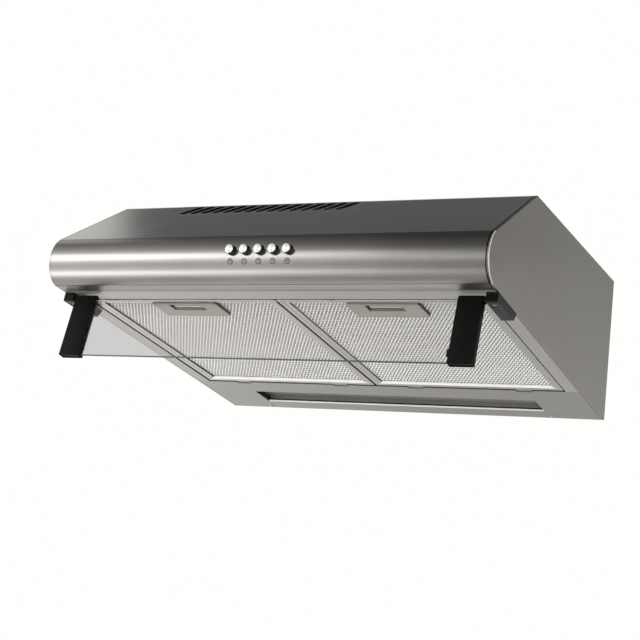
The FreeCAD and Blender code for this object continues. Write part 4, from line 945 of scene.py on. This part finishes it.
# the top edge gets the painted highlight, the side and lower edges the painted shade
for face in bm.faces:
    if face.normal.z > 0.3:
        face.material_index = 2
    elif abs(face.normal.y) < 0.95:
        face.material_index = 1
bmesh.ops.transform(bm, matrix=hang, verts=bm.verts)
finished(bm, "visor_pane", "visor", [smoked_glass, pane_edge_shade, pane_top_highlight], "visor_glass", 10)

# Push buttons. Five round buttons with a polished, slightly domed metal cap on
# a black stem that slides in the hole of the fascia. Under each one a small
# printed disc says what it does: off, three speeds and the light.
button_chrome = metal_sheet(
    "button_metal", (300, 300, 300), (0.93, 0.92, 0.9), (0.97, 0.96, 0.95), 0.05, 0.1, 0.0, 0.6)
button_black = moulded(
    "button_black", (0.006, 0.006, 0.006), (0.01, 0.01, 0.009), 0.22, 0.3, 2400.0, 0.00001)
cap_front, cap_back, stem_half, stem_end = -0.5262, -0.504, 0.002, -0.493

# the cap's half section: radius in mm, and place along the button's travel
dome = [
    (0.0, -0.5280), (1.0, -0.52795), (2.0, -0.5278), (3.0, -0.52753), (4.0, -0.52712), (4.8, -0.52665),
    (5.4, -0.52614), (5.8, -0.5255), (5.95, -0.5249), (5.95, -0.512), (5.7, -0.5118), (5.7, cap_back),
    (0.0, cap_back),
]
for number, x in enumerate(button_places, 1):
    bm = bmesh.new()
    points = [Vector((x + r * mm, y, button_z)) for r, y in dome]
    run_to(bm, bm.verts.new(points[0]), *points[1:])
    turned(bm, (x, 0, button_z), (0, 1, 0), 48)
    bmesh.ops.recalc_face_normals(bm, faces=bm.faces)
    for face in bm.faces:
        face.material_index = 0 if face.calc_center_median().y < cap_front else 1
    stem_low = (x - stem_half, cap_back, button_z - stem_half)
    stem_high = (x + stem_half, stem_end, button_z + stem_half)
    for face in {face for vert in block(bm, stem_low, stem_high) for face in vert.link_faces}:
        face.material_index = 1
    finished(bm, f"button_cap_{number}", f"button_{number}",
             [button_chrome, button_black], f"push_button_{number}", 40)

icon_print = moulded("icon_print", (0.2, 0.2, 0.19), (0.26, 0.26, 0.25), 0.35, 0.45, 1500.0, 0.00001)
icon_ring = moulded("icon_ring", (0.018, 0.018, 0.017), (0.03, 0.03, 0.028), 0.35, 0.45, 1500.0, 0.00001)
icon_z, lower_radius, sign_lift = -0.0712, 0.0325, 0.27 * mm
icon_y = nose.y + lower_radius - math.sqrt(lower_radius**2 - (icon_z - nose.z) ** 2)
icon_tilt = math.asin((nose.z - icon_z) / lower_radius)
for number, x in enumerate(button_places, 1):
    seat = seated((x, icon_y, icon_z), "X", quarter_turn + icon_tilt)
    bm = bmesh.new()
    rod(bm, 3.75 * mm, 0.5 * mm, 40, Matrix())
    face = [face for face in bm.faces if face.normal.z > 0.9]
    bmesh.ops.inset_region(bm, faces=face, thickness=0.85 * mm, use_even_offset=True)
    for ring in bm.faces:
        ring.material_index = 1
    face[0].material_index = 0
    bmesh.ops.transform(bm, matrix=seat, verts=bm.verts)
    finished(bm, f"icon_disc_{number}", "hood", [icon_print, icon_ring])
    bm = bmesh.new()
    if number < 5:
        words = bpy.data.curves.new("sign", "FONT")
        words.body = str(number - 1)
        words.size = 4.6 * mm
        words.align_x = "CENTER"
        words.align_y = "CENTER"
        words.extrude = 0.04 * mm
        holder = bpy.data.objects.new("sign", words)
        bpy.context.collection.objects.link(holder)
        drawn = bpy.data.meshes.new_from_object(holder.evaluated_get(bpy.context.evaluated_depsgraph_get()))
        bm.from_mesh(drawn)
        bpy.data.objects.remove(holder)
        bpy.data.curves.remove(words)
        bpy.data.meshes.remove(drawn)
        bmesh.ops.translate(bm, vec=(0, 0, sign_lift), verts=bm.verts)
    else:
        rod(bm, 1.0 * mm, 0.1 * mm, 24, Matrix.Translation((0, 0, sign_lift)))
        for ray in range(8):
            turn = Matrix.Rotation(math.radians(45 * ray), 4, "Z")
            block(bm, (1.4 * mm, -0.14 * mm, 0.22 * mm), (2.3 * mm, 0.14 * mm, 0.32 * mm), turn)
    bmesh.ops.transform(bm, matrix=seat, verts=bm.verts)
    finished(bm, f"icon_sign_{number}", "hood", [icon_ring])

dark_plastic = moulded(
    "dark_plastic", (0.03, 0.03, 0.03), (0.042, 0.042, 0.041), 0.42, 0.55, 1200.0, 0.00003)
dressed_copy("switch_block", "hood", [dark_plastic])

# Duct outlet. A moulded collar for 120 mm duct, flanged on to the top by four
# screws, with two half-round flaps on rods that fall shut when the air stops.
dressed_copy("outlet_collar", "hood", [dark_plastic], 0.4 * mm)
flap_plastic = moulded(
    "flap_plastic", (0.045, 0.045, 0.044), (0.06, 0.06, 0.058), 0.4, 0.52, 1500.0, 0.00003)
dressed_copy("outlet_flap_front", "front_flap", [flap_plastic], 0.2 * mm)
dressed_copy("outlet_flap_back", "back_flap", [flap_plastic], 0.2 * mm)

# Blower. A zinc-plated snail housing under the duct hole, with a squirrel-cage
# wheel on the shaft of a motor that stands in the left inlet on three legs.
motor_metal = moulded("motor_metal", (0.2, 0.205, 0.21), (0.28, 0.285, 0.29), 0.35, 0.5, 600.0, 0.00003)
dressed_copy("fan_housing", "hood", [zinc_sheet], 0.3 * mm)
dressed_copy("fan_wheel", "blower_wheel", [flap_plastic])
dressed_copy("fan_shaft", "blower_wheel", [pin_steel], 0.3 * mm)
dressed_copy("fan_motor", "hood", [motor_metal], 0.4 * mm)

# Electrical parts under the top: the terminal box, the gland where the mains
# lead would enter, and the motor's capacitor in its strap.
can_metal = metal_sheet(
    "capacitor_can", (60, 900, 900), (0.62, 0.62, 0.62), (0.72, 0.72, 0.72), 0.25, 0.35, 0.00001)
dressed_copy("terminal_box", "hood", [holder_plastic], 0.4 * mm)
dressed_copy("cable_gland", "hood", [dark_plastic], 0.4 * mm)
dressed_copy("motor_capacitor", "hood", [can_metal], 0.3 * mm)

bpy.context.view_layer.update()
